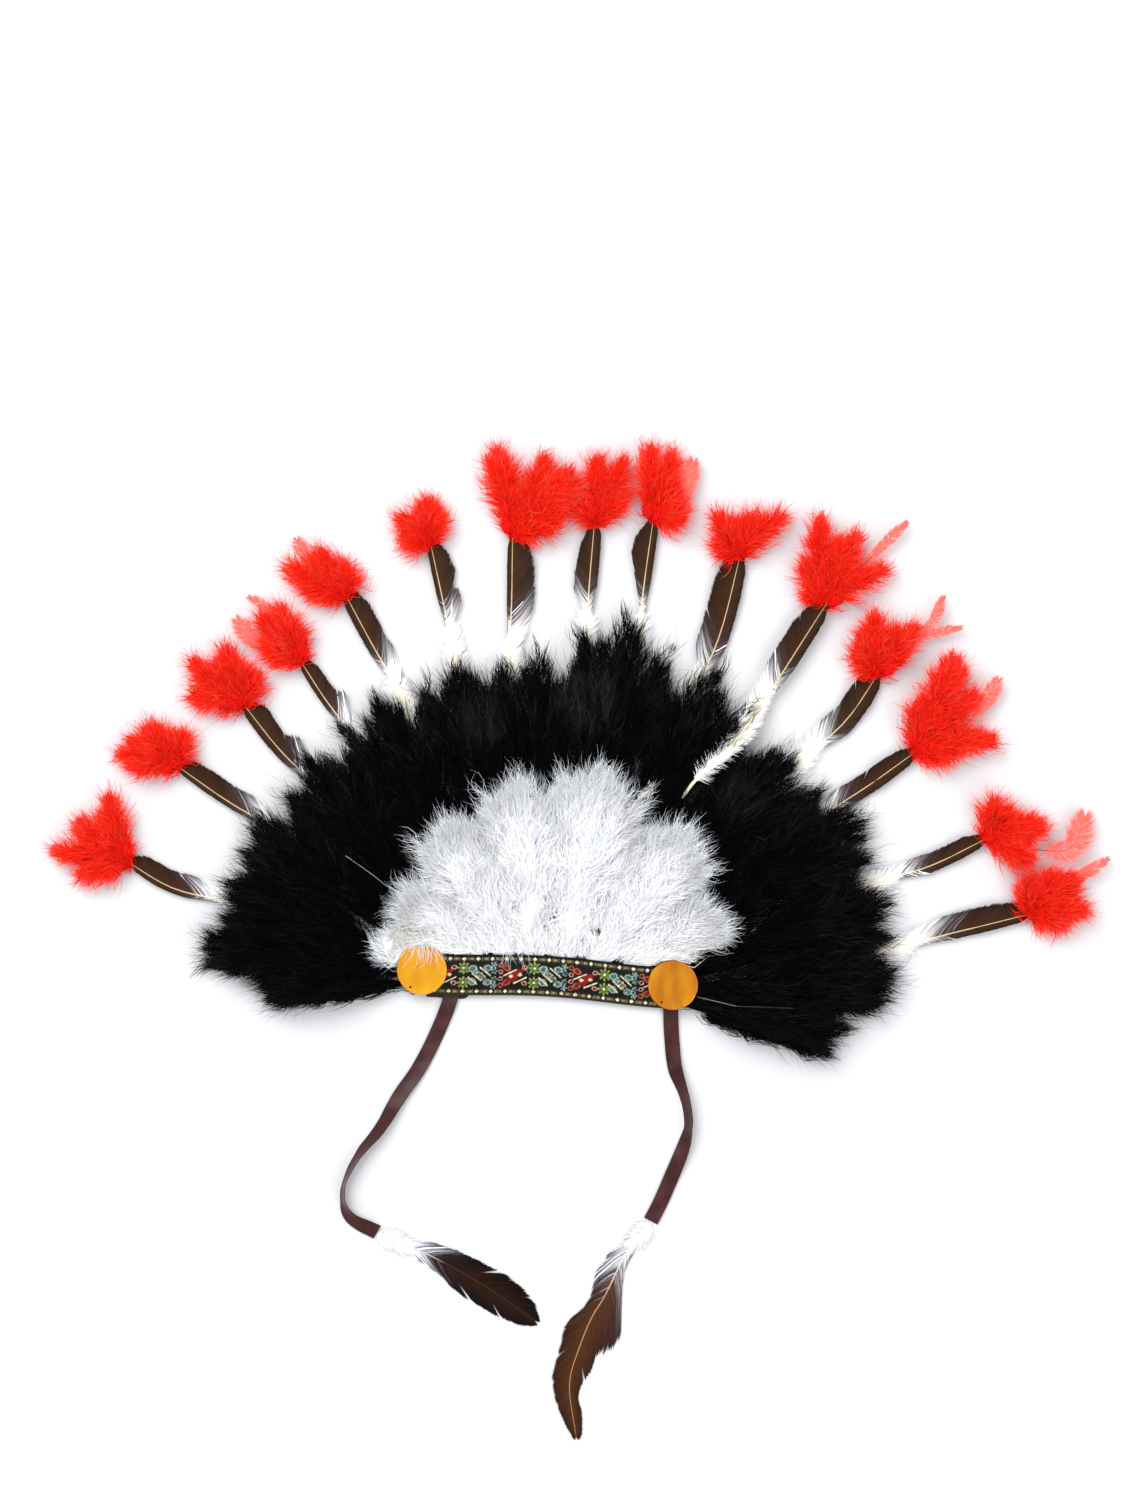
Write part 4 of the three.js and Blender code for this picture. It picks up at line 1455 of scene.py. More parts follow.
@dataclass(frozen=True)
class Puff:
    """A red puff: the bearing and reach of each lobe, and its hackles."""

    lobes: Pairs
    hackles: tuple[Hackle, ...] = ()

    def fillers(self) -> list[tuple[float, float]]:
        """Returns shorter lobes that close the narrower gaps between the puff's own."""
        fill = []
        lobes = sorted((bearing % 360, reach) for bearing, reach in self.lobes)
        for (first, reach), (second, beyond) in zip(lobes, lobes[1:]):
            if 20 < second - first < 45:
                fill.append(((first + second) / 2, 0.42 * (reach + beyond)))
        return fill


# ---- Flat parts ----


class Flower(Enum):
    """The band's small motifs by how many petals they have."""

    GREEN = 8
    TEAL = 5
    CROSS = 4


class Weft:
    """Threads that are painted motif by motif, with a colour and a float for each place."""

    def __init__(self, u: Array, v: Array, ground: Array) -> None:
        """Starts with the ground weave everywhere.

        Args:
            u: How far along its repeat each place is.
            v: How far it is above the band's middle line.
            ground: The ground weave's colour.
        """
        self.u, self.v, self.ground = u, v, ground
        self.colour = np.broadcast_to(ground, (*u.shape, 3)).copy()
        self.raised = np.zeros(u.shape)

    def fill(self, mask: Array, tint: Array, height: float) -> None:
        """Paints the places in a mask and floats their threads."""
        self.colour[mask] = tint
        self.raised[mask] = height

    def bloom(self, cu: float, cv: float, size: float, kind: Flower, *tints: Array) -> None:
        """Paints a flower.

        Args:
            cu: Where its middle is along the repeat.
            cv: And above the middle line.
            size: How far its petals reach.
            kind: Its motif, which says how many petals it has.
            tints: The colours of its petals, their edge and its eye.
        """
        inside, edge, eye = tints
        r, turn = np.hypot(self.u - cu, self.v - cv), np.arctan2(self.v - cv, self.u - cu)
        rim = size * (0.76 + 0.24 * np.cos(kind.value * turn))
        self.fill(r < rim, edge, 1.0)
        self.fill(r < rim - 0.55, inside, 0.8)
        self.fill(r < size * 0.3, self.ground, 0.2)
        gap = (r > size * 0.34) & (r < rim) & (np.abs(np.sin(kind.value * turn / 2)) > 0.96)
        self.fill(gap, self.ground, 0.3)
        self.fill(r < size * 0.2, eye, 1.0)

    def leaf(self, cu: float, cv: float, long: float, short: float, lean: float, *tints: Array) -> None:
        """Paints a leaf with a dark middle rib.

        Args:
            cu: Where its middle is along the repeat.
            cv: And above the middle line.
            long: Half its length.
            short: Half its width.
            lean: How far it leans, in degrees.
            tints: The colours of its inside and its edge.
        """
        inside, edge = tints
        a = math.radians(lean)
        p = (self.u - cu) * math.cos(a) + (self.v - cv) * math.sin(a)
        q = -(self.u - cu) * math.sin(a) + (self.v - cv) * math.cos(a)
        r = np.abs(p / long) ** 1.6 + np.abs(q / short) ** 1.6
        self.fill(r < 1, edge, 1.0)
        self.fill(r < 0.52, inside, 0.8)
        self.fill((np.abs(q) < 0.14) & (r < 0.45), self.ground, 0.3)

    def bar(self, u0: float, v0: float, u1: float, v1: float, tint: Array, half: float = 0.4) -> None:
        """Paints a straight bar.

        Args:
            u0: Where it starts along the repeat.
            v0: And above the middle line.
            u1: Where it ends along the repeat.
            v1: And above the middle line.
            tint: Its colour.
            half: Half its width.
        """
        length = math.hypot(u1 - u0, v1 - v0)
        a, b = (u1 - u0) / length, (v1 - v0) / length
        p = (self.u - u0) * a + (self.v - v0) * b
        q = np.abs((self.v - v0) * a - (self.u - u0) * b)
        self.fill((p > 0) & (p < length) & (q < half), tint, 1.0)

    def diamond(self, cu: float, cv: float, long: float, short: float, tint: Array) -> None:
        """Paints a diamond round a middle, half as long and as high as it is told."""
        self.fill(np.abs(self.u - cu) / long + np.abs(self.v - cv) / short < 1, tint, 1.0)


@dataclass
class BandChart:
    """The band's woven pattern: a repeat of flowers, leaves and bars, given motif by motif."""

    repeat: float = 47.0
    start: float = -56.0
    lead: float = 4.0  # how far motifs reach back before their repeat's start

    def __post_init__(self) -> None:
        """Names the thread colours."""
        self.ground = linear((7, 7, 8))
        self.green, self.green_edge = linear((92, 118, 32)), linear((160, 166, 100))
        self.teal, self.teal_edge = linear((58, 98, 98)), linear((138, 160, 152))
        self.cream, self.gold = linear((210, 200, 160)), linear((138, 126, 82))
        self.red, self.orange = linear((128, 8, 14)), linear((176, 78, 52))
        self.pink = linear((196, 140, 122))
        self.rust, self.olive = linear((92, 34, 26)), linear((44, 40, 22))

    def paint(self, x: Array, v: Array) -> tuple[Array, Array]:
        """Paints the pattern.

        Args:
            x: How far along the band each place is.
            v: How far it is above the band's middle line.

        Returns:
            A colour for each place, and how far its thread floats above the ground weave.
        """
        weft = Weft((x - self.start + self.lead) % self.repeat - self.lead, v, self.ground)
        for sign in (1, -1):
            weft.leaf(5.9, 4.5 * sign, 3.0, 2.5, 25 * sign, self.teal, self.teal_edge)
            weft.bloom(0, 4.9 * sign, 4.3, Flower.GREEN, self.green, self.green_edge, self.cream)
            weft.leaf(16.1, 4.9 * sign, 3.0, 2.1, -15 * sign, self.teal, self.teal_edge)
            weft.bloom(20.2, 6.9 * sign, 2.3, Flower.TEAL, self.teal, self.teal_edge, self.cream)
            weft.bloom(20.4, 2.8 * sign, 2.1, Flower.TEAL, self.ground, self.teal_edge, self.teal)
            weft.leaf(24.7, 6.8 * sign, 1.8, 1.5, 30 * sign, self.ground, self.orange)
            weft.leaf(24.7, 2.3 * sign, 1.7, 1.5, -30 * sign, self.ground, self.pink)
            weft.leaf(28.6, 4.9 * sign, 3.0, 2.1, -20 * sign, self.rust, self.orange)
            weft.leaf(40.6, 5.3 * sign, 2.0, 1.6, 20 * sign, self.rust, self.pink)
        for turn in (-1.3, 1.3):
            weft.bar(4.2 + turn, 0.2 + turn, 10.6 + turn, -5.0 + turn, self.cream)
        weft.bar(10.4, 5.6, 18.2, -0.4, self.cream)
        weft.bloom(8.9, 1.9, 2.4, Flower.CROSS, self.teal, self.teal_edge, self.cream)
        weft.bloom(12.1, -0.9, 2.5, Flower.CROSS, self.teal, self.cream, self.gold)
        weft.bloom(15.0, -3.9, 2.0, Flower.CROSS, self.ground, self.teal_edge, self.cream)
        weft.fill((np.abs(v + 0.2) < 4.3) & (np.abs(weft.u - 34.4 - 0.85 * v) < 3.2), self.red, 0.9)
        weft.diamond(31.6, -0.6, 1.7, 1.3, self.cream)
        weft.diamond(37.6, 0.3, 1.7, 1.3, self.cream)
        weft.bar(26.4, -0.6, 35.0, 3.8, self.cream)
        weft.bar(33.4, -5.6, 42.2, -1.2, self.cream)
        self.borders(weft, x, v)
        return weft.colour, weft.raised

    def borders(self, weft: Weft, x: Array, v: Array) -> None:
        """Paints the small diamonds, chevrons and selvages along both edges.

        Args:
            weft: The threads.
            x: How far along the band each place is.
            v: How far it is above the band's middle line.
        """
        edge = np.abs(v)
        weft.fill(edge > 9.4, self.ground, 0.0)
        step = np.abs((x - self.start + 4.7) % 9.4 - 4.7)
        off = np.abs(edge - 10.9)
        mark = step / 1.5 + off / 1.35 < 1
        weft.fill(mark, self.cream, 1.0)
        weft.fill((np.abs(np.abs(step - 3.4) - off) < 0.3) & (off < 1.15), self.gold, 0.8)
        bead = (step / 0.5 + off / 0.9 < 1) | (np.hypot(step - 4.7, off) < 0.35)
        weft.fill(bead & ~mark, self.cream, 0.9)
        weft.colour[np.abs(edge - 9.3) < 0.2] = linear((40, 37, 26))
        weft.colour[v < -11.9] = self.olive
        weft.colour[v > 12.2] = linear((7, 7, 7))


def sheet_grid(name: str, columns: int, rows: int) -> tuple[bpy.types.Object, Array]:
    """Adds a grid for a sheet.

    Args:
        name: What the sheet is called.
        columns: Its faces along X.
        rows: Its faces along Y.

    Returns:
        The grid, and its corners within 0.5 of the origin each way.
    """
    bpy.ops.mesh.primitive_grid_add(x_subdivisions=columns, y_subdivisions=rows, size=1)
    sheet = bpy.context.object
    sheet.name = sheet.data.name = name
    corners = np.zeros(len(sheet.data.vertices) * 3)
    sheet.data.vertices.foreach_get("co", corners)
    return sheet, corners.reshape(-1, 3)


def chart_weave(sheet: bpy.types.Object, along: Array, across: Array) -> None:
    """Gives a sheet the map that its weave follows.

    Args:
        sheet: The sheet's grid.
        along: How far along the sheet each corner lies.
        across: How far across it.
    """
    mesh = sheet.data
    corner = np.zeros(len(mesh.loops), np.int32)
    mesh.loops.foreach_get("vertex_index", corner)
    while mesh.uv_layers:
        mesh.uv_layers.remove(mesh.uv_layers[0])
    chart = mesh.uv_layers.new(name="weave")
    chart.uv.foreach_set("vector", (np.stack([along, across], 1)[corner] * MM).astype(np.float32).ravel())


def make_cloth(
    sheet: bpy.types.Object, points: Array, thick: float, offset: int, crease: float, look: Material
) -> None:
    """Bends a sheet's grid into place, thickens it and dresses it.

    Args:
        sheet: The grid.
        points: Where its corners go.
        thick: How thick the sheet is.
        offset: -1 where the corners are its upper side and 0 where they are its middle.
        crease: The sharpest edge that still looks smooth, in degrees.
        look: Its material.
    """
    sheet.data.vertices.foreach_set("co", (points * MM).ravel())
    solidify = sheet.modifiers.new("cloth", "SOLIDIFY")
    solidify.thickness, solidify.offset = thick * MM, offset
    bpy.ops.object.modifier_apply(modifier="cloth")
    bpy.ops.object.shade_smooth_by_angle(angle=math.radians(crease))
    sheet.data.materials.clear()
    sheet.data.materials.append(look)


@dataclass
class BrowBand:
    """The woven band across the brow."""

    crown_z: float = 9.8  # how high it lies on the side of the crown
    hem_z: float = 5.2  # and on the side of the brow
    thick: float = 1.0
    relief: float = 0.16  # how high the pattern's threads float
    columns: int = 404
    rows: int = 69

    def build(self) -> bpy.types.Object:
        """Weaves the band.

        Returns:
            The band.
        """
        band, flat = sheet_grid("brow_band_weave", self.columns, self.rows)
        x, v = flat[:, 0] * 2 * BAND_HALF_LENGTH, flat[:, 1] * BAND_WIDTH
        colour, raised = BandChart().paint(x, v)
        rise = np.sin(np.pi / 2 * np.clip((v / BAND_WIDTH + 0.5) / 0.7, 0, 1))
        z = self.hem_z + (self.crown_z - self.hem_z) * rise
        slack = 0.25 * np.sin(x * 0.21 + 0.6) * np.sin(x * 0.063) + 0.12 * np.sin(x * 0.5 + v * 0.3)
        z = z + slack * 0.5 - 0.15 + raised * self.relief
        z -= 0.5 * np.clip((np.abs(x) - BAND_HALF_LENGTH + 2) / 2, 0, 1) ** 2
        tint = band.data.attributes.new("tint", "FLOAT_COLOR", "POINT")
        rgba = np.hstack([colour, np.ones((len(colour), 1))])
        tint.data.foreach_set("color", rgba.astype(np.float32).ravel())
        chart_weave(band, x, v)
        points = np.stack([x, band_middle(x) + v, z], 1)
        make_cloth(band, points, self.thick, -1, 60, WovenFinish("jacquard_weave").material())
        settle(band, "brow_band")
        return band


@dataclass
class BackingStrip:
    """The felt strip that lies on the table behind the band."""

    top: float = 9.0
    low: float = -12.5
    lip: float = -18.4  # where its lower edge is at the left end, below the band
    lip_end: float = -47.5
    thick: float = 1.0
    columns: int = 80
    rows: int = 10

    def build(self) -> bpy.types.Object:
        """Cuts the strip.

        Returns:
            The strip.
        """
        strip, flat = sheet_grid("backing_strip_felt", self.columns, self.rows)
        x = flat[:, 0] * 2 * BAND_HALF_LENGTH
        foot = self.lip + (self.low - self.lip) * smooth(x, self.lip_end - 8, self.lip_end)
        y = foot + (self.top - foot) * (flat[:, 1] + 0.5)
        z = self.thick - 0.02 + 0.02 * np.sin(x * 0.4)
        felt = FeltFinish("black_felt", (22, 21, 22)).material()
        make_cloth(strip, np.stack([x, y, z], 1), self.thick - 0.1, -1, 40, felt)
        settle(strip, "backing_strip")
        return strip


@dataclass
class BrowDisc:
    """A gold sequin disc that is sewn on at each end of the band."""

    node: str
    sign: int
    deep: Colour
    pale: Colour
    bottom: float = 10.3
    thick: float = 0.8
    hole: tuple[float, float] = (-7.0, -11.9)
    hole_radius: float = 0.8

    def build(self) -> bpy.types.Object:
        """Presses the disc and punches its hole.

        Returns:
            The disc.
        """
        centre = (self.sign * DISC_OFFSET * MM, 0, (self.bottom + self.thick / 2) * MM)
        size = {"radius": DISC_RADIUS * MM, "depth": self.thick * MM}
        bpy.ops.mesh.primitive_cylinder_add(vertices=120, location=centre, end_fill_type="NGON", **size)
        disc = bpy.context.object
        disc.name = disc.data.name = f"{self.node}_sequin"
        bpy.ops.object.mode_set(mode="EDIT")
        bpy.ops.mesh.select_mode(type="FACE")
        for inset, drop in ((0.7, 0.0), (0.6, -0.16), (6.0, -0.14), (5.0, -0.03)):
            self.pick_face(disc)
            bpy.ops.mesh.inset(thickness=inset * MM, depth=0)
            self.pick_face(disc)
            bpy.ops.transform.translate(value=(0, 0, drop * MM))
        bpy.ops.object.mode_set(mode="OBJECT")
        place = (centre[0] + self.hole[0] * MM, centre[1] + self.hole[1] * MM, centre[2])
        size = {"radius": self.hole_radius * MM, "depth": 10 * MM}
        bpy.ops.mesh.primitive_cylinder_add(vertices=20, location=place, **size)
        punch = bpy.context.object
        bpy.ops.object.select_all(action="DESELECT")
        disc.select_set(True)
        bpy.context.view_layer.objects.active = disc
        cut = disc.modifiers.new("hole", "BOOLEAN")
        cut.object, cut.operation, cut.solver = punch, "DIFFERENCE", "EXACT"
        bpy.ops.object.modifier_apply(modifier="hole")
        bpy.data.objects.remove(punch)
        bevel = disc.modifiers.new("rim", "BEVEL")
        bevel.width, bevel.segments, bevel.limit_method = 0.15 * MM, 2, "ANGLE"
        bpy.ops.object.modifier_apply(modifier="rim")
        bpy.ops.object.transform_apply(location=True, rotation=True, scale=True)
        bpy.ops.object.shade_smooth_by_angle(angle=math.radians(35))
        disc.data.materials.clear()
        disc.data.materials.append(SequinFinish(f"{self.node}_gold", self.deep, self.pale).material())
        settle(disc, self.node)
        return disc

    def pick_face(self, disc: bpy.types.Object) -> None:
        """Selects the disc's upper middle face alone, in edit mode.

        Args:
            disc: The disc.
        """
        bpy.ops.mesh.select_all(action="DESELECT")
        bpy.ops.object.mode_set(mode="OBJECT")
        faces = [f for f in disc.data.polygons if f.normal.z > 0.9 and len(f.vertices) > 40]
        max(faces, key=lambda f: len(f.vertices)).select = True
        bpy.ops.object.mode_set(mode="EDIT")


@dataclass
class TieRibbon:
    """A satin ribbon that runs from behind the band to a tie feather."""

    node: str
    route: tuple[tuple[float, float, float], ...]  # where it passes, and how far it stands on edge
    width: float = 10.0
    thick: float = 0.5
    floor: float = 0.4
    tuck_z: float = 1.4  # how high it lies behind the band
    tuck_end: float = -19.0  # where it comes out from behind the band
    columns: int = 150
    rows: int = 12

    def bend(self, course: Course, roll: Array, along: Array, across: Array) -> Array:
        """Bends the flat ribbon along its route.

        Args:
            course: The route of its middle line.
            roll: How far each place turns on edge, in radians.
            along: How far along the ribbon it is.
            across: How far across it.

        Returns:
            Where each place comes to lie.
        """
        left = unit(np.cross(UP, course.along(along)))
        side, normal = leaning(left, UP, roll), leaning(UP, -left, roll)
        share = across / self.width * 2
        curl = 0.35 * (share**2) + 0.22 * np.sin(along * 0.13) * share + 0.1 * np.sin(along * 0.41 + share)
        points = course.at(along) + side * across[:, None] + normal * curl[:, None]
        points[:, 2] = np.maximum(points[:, 2], 0.5)
        return points

    def build(self) -> bpy.types.Object:
        """Lays the ribbon.

        Returns:
            The ribbon.
        """
        rolls = np.radians([roll for _, _, roll in self.route])
        stops = []
        for (x, y, _), roll in zip(self.route, rolls):
            rise = self.width / 2 * math.sin(roll) + 0.5 * math.cos(roll)
            stops.append((x, y, (self.tuck_z if y > self.tuck_end else self.floor) + rise))
        course = Course(stops)
        marks = []
        for stop in np.array(stops):
            marks.append(course.marks[np.argmin(np.linalg.norm(course.points - stop, axis=1))])
        ribbon, flat = sheet_grid(f"{self.node}_satin", self.columns, self.rows)
        along, across = (flat[:, 0] + 0.5) * course.length, flat[:, 1] * self.width
        chart_weave(ribbon, along, across)
        points = self.bend(course, np.interp(along, marks, rolls), along, across)
        make_cloth(ribbon, points, self.thick, 0, 50, SatinFinish(f"{self.node}_brown").material())
        settle(ribbon, self.node)
        return ribbon


# ---- Tables ----

OUTER_FEATHERS = (
    OuterFeather((-207, 36), (-253, 44), (-282, 59), 57, 3, 11),
    OuterFeather((-187, 87), (-218, 103), (-254, 125), 62, 3, 10),
    OuterFeather(
        (-159, 115), (-187, 140), (-212, 168), 58, 4, 13,
        ((0, 0.45), (0.12, 0.75), (0.5, 0.7), (0.53, 0.62), (0.66, 1), (0.84, 1), (0.88, 0.7), (1, 0.55)),
    ),
    OuterFeather(
        (-134, 147), (-156, 172), (-176, 199), 45, 3, 13,
        ((0, 0.35), (0.15, 0.55), (0.5, 0.6), (0.64, 0.68), (0.7, 0.95), (0.84, 1), (0.95, 0.9), (1, 0.6)),
    ),
    OuterFeather((-109, 182), (-128, 211), (-149, 245), 53, 4, 10, ((0, 0.7), (0.2, 1), (0.8, 1), (1, 0.75))),
    OuterFeather(
        (-68, 188), (-83, 240), (-95, 283), 49, 3, 11,
        (
            (0, 0.5), (0.15, 0.85), (0.38, 1), (0.5, 0.82), (0.52, 0.3), (0.6, 0.35), (0.62, 0.95), (0.84, 1),
            (1, 0.5),
        ),
    ),
    OuterFeather((-38, 210), (-39, 249), (-41, 291), 59, 3, 13),
    OuterFeather(
        (12, 226), (12, 259), (13, 303), 52, 9, 5, ((0, 0.3), (0.25, 0.8), (0.6, 1), (0.9, 0.95), (1, 0.5)),
    ),
    OuterFeather(
        (46, 228), (49, 272), (52, 308), 55, 10, 4, ((0, 0.3), (0.2, 0.9), (0.4, 1), (0.75, 0.5), (1, 0.15)),
    ),
    OuterFeather(
        (84, 190), (100, 231), (111, 287), 78, 13, 6, ((0, 0.6), (0.2, 0.9), (0.6, 1), (0.9, 0.95), (1, 0.6)),
    ),
    OuterFeather((86, 131), (118, 169), (169, 257), 62, 11, 5, down=86, sink=12),
    OuterFeather((159, 153), (188, 182), (207, 214), 56, 11, 6, ((0, 0.4), (0.1, 0.8), (0.5, 1), (1, 0.95))),
    OuterFeather((178, 119), (207, 141), (235, 164), 68, 8, 5),
    OuterFeather((217, 77), (250, 89), (285, 109), 56, 8, 4, ((0, 0.5), (0.2, 0.9), (0.8, 1), (1, 0.8))),
    OuterFeather((227, 33), (273, 47), (318, 61), 70, 11, 4),
)
ROOT_SPAN = 68.0  # how far from the middle the outermost feathers' roots lie
HACKLE_HEIGHTS = (6.0, 8.0, 9.0)  # how high a hackle's three stops lie
LOBE_TUFTS, LOBE_WISPS = 2.7, 2.6  # how many a lobe has for each millimetre of its reach

BLACK_LOOK = DownLook(
    tufts=490, barbs=11, length=(12, 25), width=(0.32, 0.62), rise=(2, 30), thick=1.7, gather=0.5, loose=0.08,
    swing=0.14, wisps=900, wisp_length=(12, 28), wisp_width=(0.14, 0.28),
    wisp_tints=((4, 4, 5), (10, 10, 12), (34, 34, 38)), ceiling=33, root=(0, 0, 0),
    tips=((2, 2, 2), (4, 4, 5), (1, 1, 1), (10, 10, 12)), shade=(0.5, 1.5), core=(0, 0, 0), spread=30,
    swirl=9, overhang=16,
)
# Painted shade: the roots and core are greyer than the tips, and patches darkens some locks.
WHITE_LOOK = DownLook(
    tufts=620, barbs=11, length=(9, 20), width=(0.24, 0.5), rise=(5, 44), thick=2.2, gather=0.6, loose=0.13,
    swing=0.2, wisps=1150, wisp_length=(9, 20), wisp_width=(0.15, 0.26),
    wisp_tints=((246, 248, 251), (218, 223, 231), (194, 200, 210)), ceiling=42, root=(245, 246, 249),
    tips=((253, 254, 255), (250, 251, 253), (252, 251, 249)), shade=(0.88, 1.06), core=(236, 238, 243),
    spread=34, stray=13, at_root=1.1, swirl=26, patches=0.13, overhang=5, rounding=0.2, veil=0.42,
)
# Painted shade: the roots and core are a deeper red than the tips.
RED_LOOK = DownLook(
    tufts=0, barbs=7, length=(10, 19), width=(0.3, 0.54), rise=(5, 45), thick=1.9, gather=0.7, loose=0.14,
    swing=0.17, wisps=0, wisp_length=(8, 16), wisp_width=(0.17, 0.28),
    wisp_tints=((255, 96, 76), (255, 66, 46), (250, 56, 36)), ceiling=26, root=(226, 10, 4),
    tips=((255, 44, 18), (255, 56, 26), (252, 34, 14)), shade=(0.85, 1.15), core=(205, 8, 4), spread=0,
)

BLACK_FAN = PlumeFan(
    prefix="black_plume",
    fan=Fan(76, 12, -8),
    plumes=(
        (184, 110), (174, 152), (160, 150), (146, 164), (131, 174), (117, 190), (105, 202), (94, 206),
        (83, 234), (70, 214), (56, 186), (40, 184), (24, 164), (8, 154), (-7, 118),
    ),
    look=BLACK_LOOK, slot=Slot.BLACK, seed=100,
    # These grey patches are painted sheen on the black down.
    stains_and_sheen=(
        StainAndSheen(14, 178, 26, (50, 50, 55)),
        StainAndSheen(-52, 160, 18, (40, 40, 44)),
        StainAndSheen(118, 120, 16, (36, 36, 40)),
    ),
    shafts={
        2: (BareShaft((-138.3, 73.3), (-108.4, 53), (150, 150, 152)),),
        14: (
            BareShaft((100.2, -6.5), (125.9, -10.3), (120, 120, 122)),
            BareShaft((125.9, -10.3), (163.9, -9.4), (60, 60, 62)),
        ),
    },
)
WHITE_FAN = PlumeFan(
    prefix="white_plume",
    fan=Fan(58, 8, -2),
    plumes=((160, 50), (137, 66), (116, 99), (98, 119), (82, 130), (60, 108), (37, 75)),
    look=WHITE_LOOK, slot=Slot.WHITE, seed=200, half_wedge=10.5, edge_spread=0.6, hem_tufts=44,
    stains_and_sheen=(StainAndSheen(-104, 22, 22, (246, 240, 222)), StainAndSheen(58, 120, 18, (248, 242, 222))),
    strays={
        0: (Stray(-86, 19, 12.6, -88, 34), Stray(-78, 17, 12.6, -70, 16)),
        2: (Stray(-24, 16.5, 11.6, -88, 12),),
    },
    shafts={
        2: (BareShaft((-39.7, 43.8), (-13.3, 15.4), (236, 236, 234)),),
        3: (BareShaft((-16.5, 57.9), (0, 16.2), (238, 238, 236)),),
        4: (BareShaft((34.7, 61), (31.1, 44), (240, 238, 232)),),
    },
)

OUTER_TINTS = VaneTints(
    inner=(74, 66, 76), middle=(45, 26, 14), tip=(32, 18, 9), by_shaft=(64, 39, 20), edge=(28, 17, 10),
    quill=(240, 233, 206), rib=(192, 170, 132),
)
LEFT_TIE_TINTS = VaneTints(
    inner=(34, 28, 44), middle=(14, 6, 3), tip=(6, 3, 2), by_shaft=(46, 24, 11), edge=(4, 2, 2),
    quill=(236, 235, 232), rib=(58, 36, 22), pale=(224, 226, 232), cream=(230, 229, 226),
)
RIGHT_TIE_TINTS = VaneTints(
    inner=(42, 33, 46), middle=(54, 30, 17), tip=(36, 20, 11), by_shaft=(84, 48, 24), edge=(34, 19, 12),
    quill=(236, 234, 230), rib=(158, 124, 86), pale=(224, 226, 232), cream=(230, 229, 226),
)

PUFFS = (
    Puff(((117, 53), (163, 57), (-171, 40), (140, 51))),
    Puff(((177, 46), (150, 42), (123, 40), (84, 27))),
    Puff(((170, 43), (142, 52), (114, 48), (77, 28))),
    Puff(
        ((131, 48), (106, 46), (160, 32)),
        (
            Hackle(((-190, 207), (-211, 214), (-221, 225)), 6.5),
            Hackle(((-190, 226), (-205, 237), (-214, 241)), 3.5),
        ),
    ),
    Puff(
        ((154, 50), (126, 42), (90, 22), (175, 32)),
        (Hackle(((-174, 262), (-180, 273), (-184, 281)), 5.0),),
    ),
    Puff(((140, 33), (96, 36), (75, 28), (170, 23))),
    Puff(((97, 60), (86, 65), (74, 63), (62, 64), (50, 63), (36, 53), (18, 40))),
    Puff(((87, 50), (71, 52), (138, 22), (48, 32))),
    Puff(((101, 54), (86, 53), (6, 26), (45, 27)), (Hackle(((60, 306), (70, 326), (76, 349)), 7.5),)),
    Puff(((126, 38), (61, 46), (86, 34), (150, 21))),
    Puff(((99, 65), (75, 60), (49, 54), (130, 23)), (Hackle(((190, 283), (208, 303), (221, 317)), 4.0),)),
    Puff(
        ((117, 36), (89, 46), (49, 47), (140, 25)),
        (
            Hackle(((226, 236), (242, 252), (248, 269)), 4.0),
            Hackle(((224, 236), (246, 245), (261, 249)), 3.5),
        ),
    ),
    Puff(
        ((78, 75), (63, 72), (46, 62), (28, 60), (10, 50), (-9, 38), (93, 42)),
        (Hackle(((268, 184), (280, 200), (288, 216)), 6.0),),
    ),
    Puff(((69, 34), (26, 43), (-20, 40), (4, 47)), (Hackle(((316, 104), (343, 107), (351, 129)), 9.5),)),
    Puff(
        ((68, 39), (40, 47), (16, 43), (-18, 31), (93, 29)),
        (Hackle(((332, 72), (353, 90), (368, 101)), 4.5),),
    ),
)

LEFT_ROUTE = (
    (-63, -6, 0), (-64, -18.5, 0), (-73, -46, 0), (-83, -68, 5), (-94, -86, 18), (-105.5, -108, 40),
    (-119, -127, 66), (-127, -146, 72), (-127, -158, 66), (-122, -168, 40), (-103.5, -177.5, 0),
)
RIGHT_ROUTE = (
    (83.6, -6, 0), (83.6, -18.5, 0), (85.5, -37, 5), (89, -56.5, 18), (95.5, -72, 50), (99.5, -86, 60),
    (100, -96, 60), (97, -110, 25), (91.5, -126.5, 5), (84, -147, 0), (78.7, -159, 0),
)
LEFT_TIE = TieFeather(
    node="tie_feather_left",
    shaft=((-103, -178.4), (-90, -183), (-67, -191), (-37, -205), (-18, -215.5), (4.6, -229.8)),
    vane=100,
    left=((0, 5), (5, 9), (16, 12), (32, 13.6), (55, 11.5), (70, 9.5), (86, 8), (100, 6)),
    right=((0, 5), (6, 9), (23, 13.4), (46, 14.4), (59, 13), (68, 10), (82, 7), (100, 5)),
    tints=LEFT_TIE_TINTS,
    seed=22,
)
RIGHT_TIE = TieFeather(
    node="tie_feather_right",
    shaft=(
        (78.4, -160.2), (63.5, -182), (50.5, -212), (43.5, -225), (36.5, -245), (31, -270), (37.3, -304.7),
    ),
    vane=140,
    left=(
        (0, 4), (10, 6), (24, 8), (38, 10.5), (48, 13), (58, 16), (68, 19), (78, 21.5), (86, 20), (94, 16),
        (104, 10), (118, 5), (140, 4),
    ),
    right=(
        (0, 3), (6, 5.5), (15, 7.4), (31, 9.5), (43, 11.5), (63, 12), (86, 9), (100, 9), (122, 9), (140, 6),
    ),
    tints=RIGHT_TIE_TINTS,
    seed=24,
)


# ---- Assembly ----


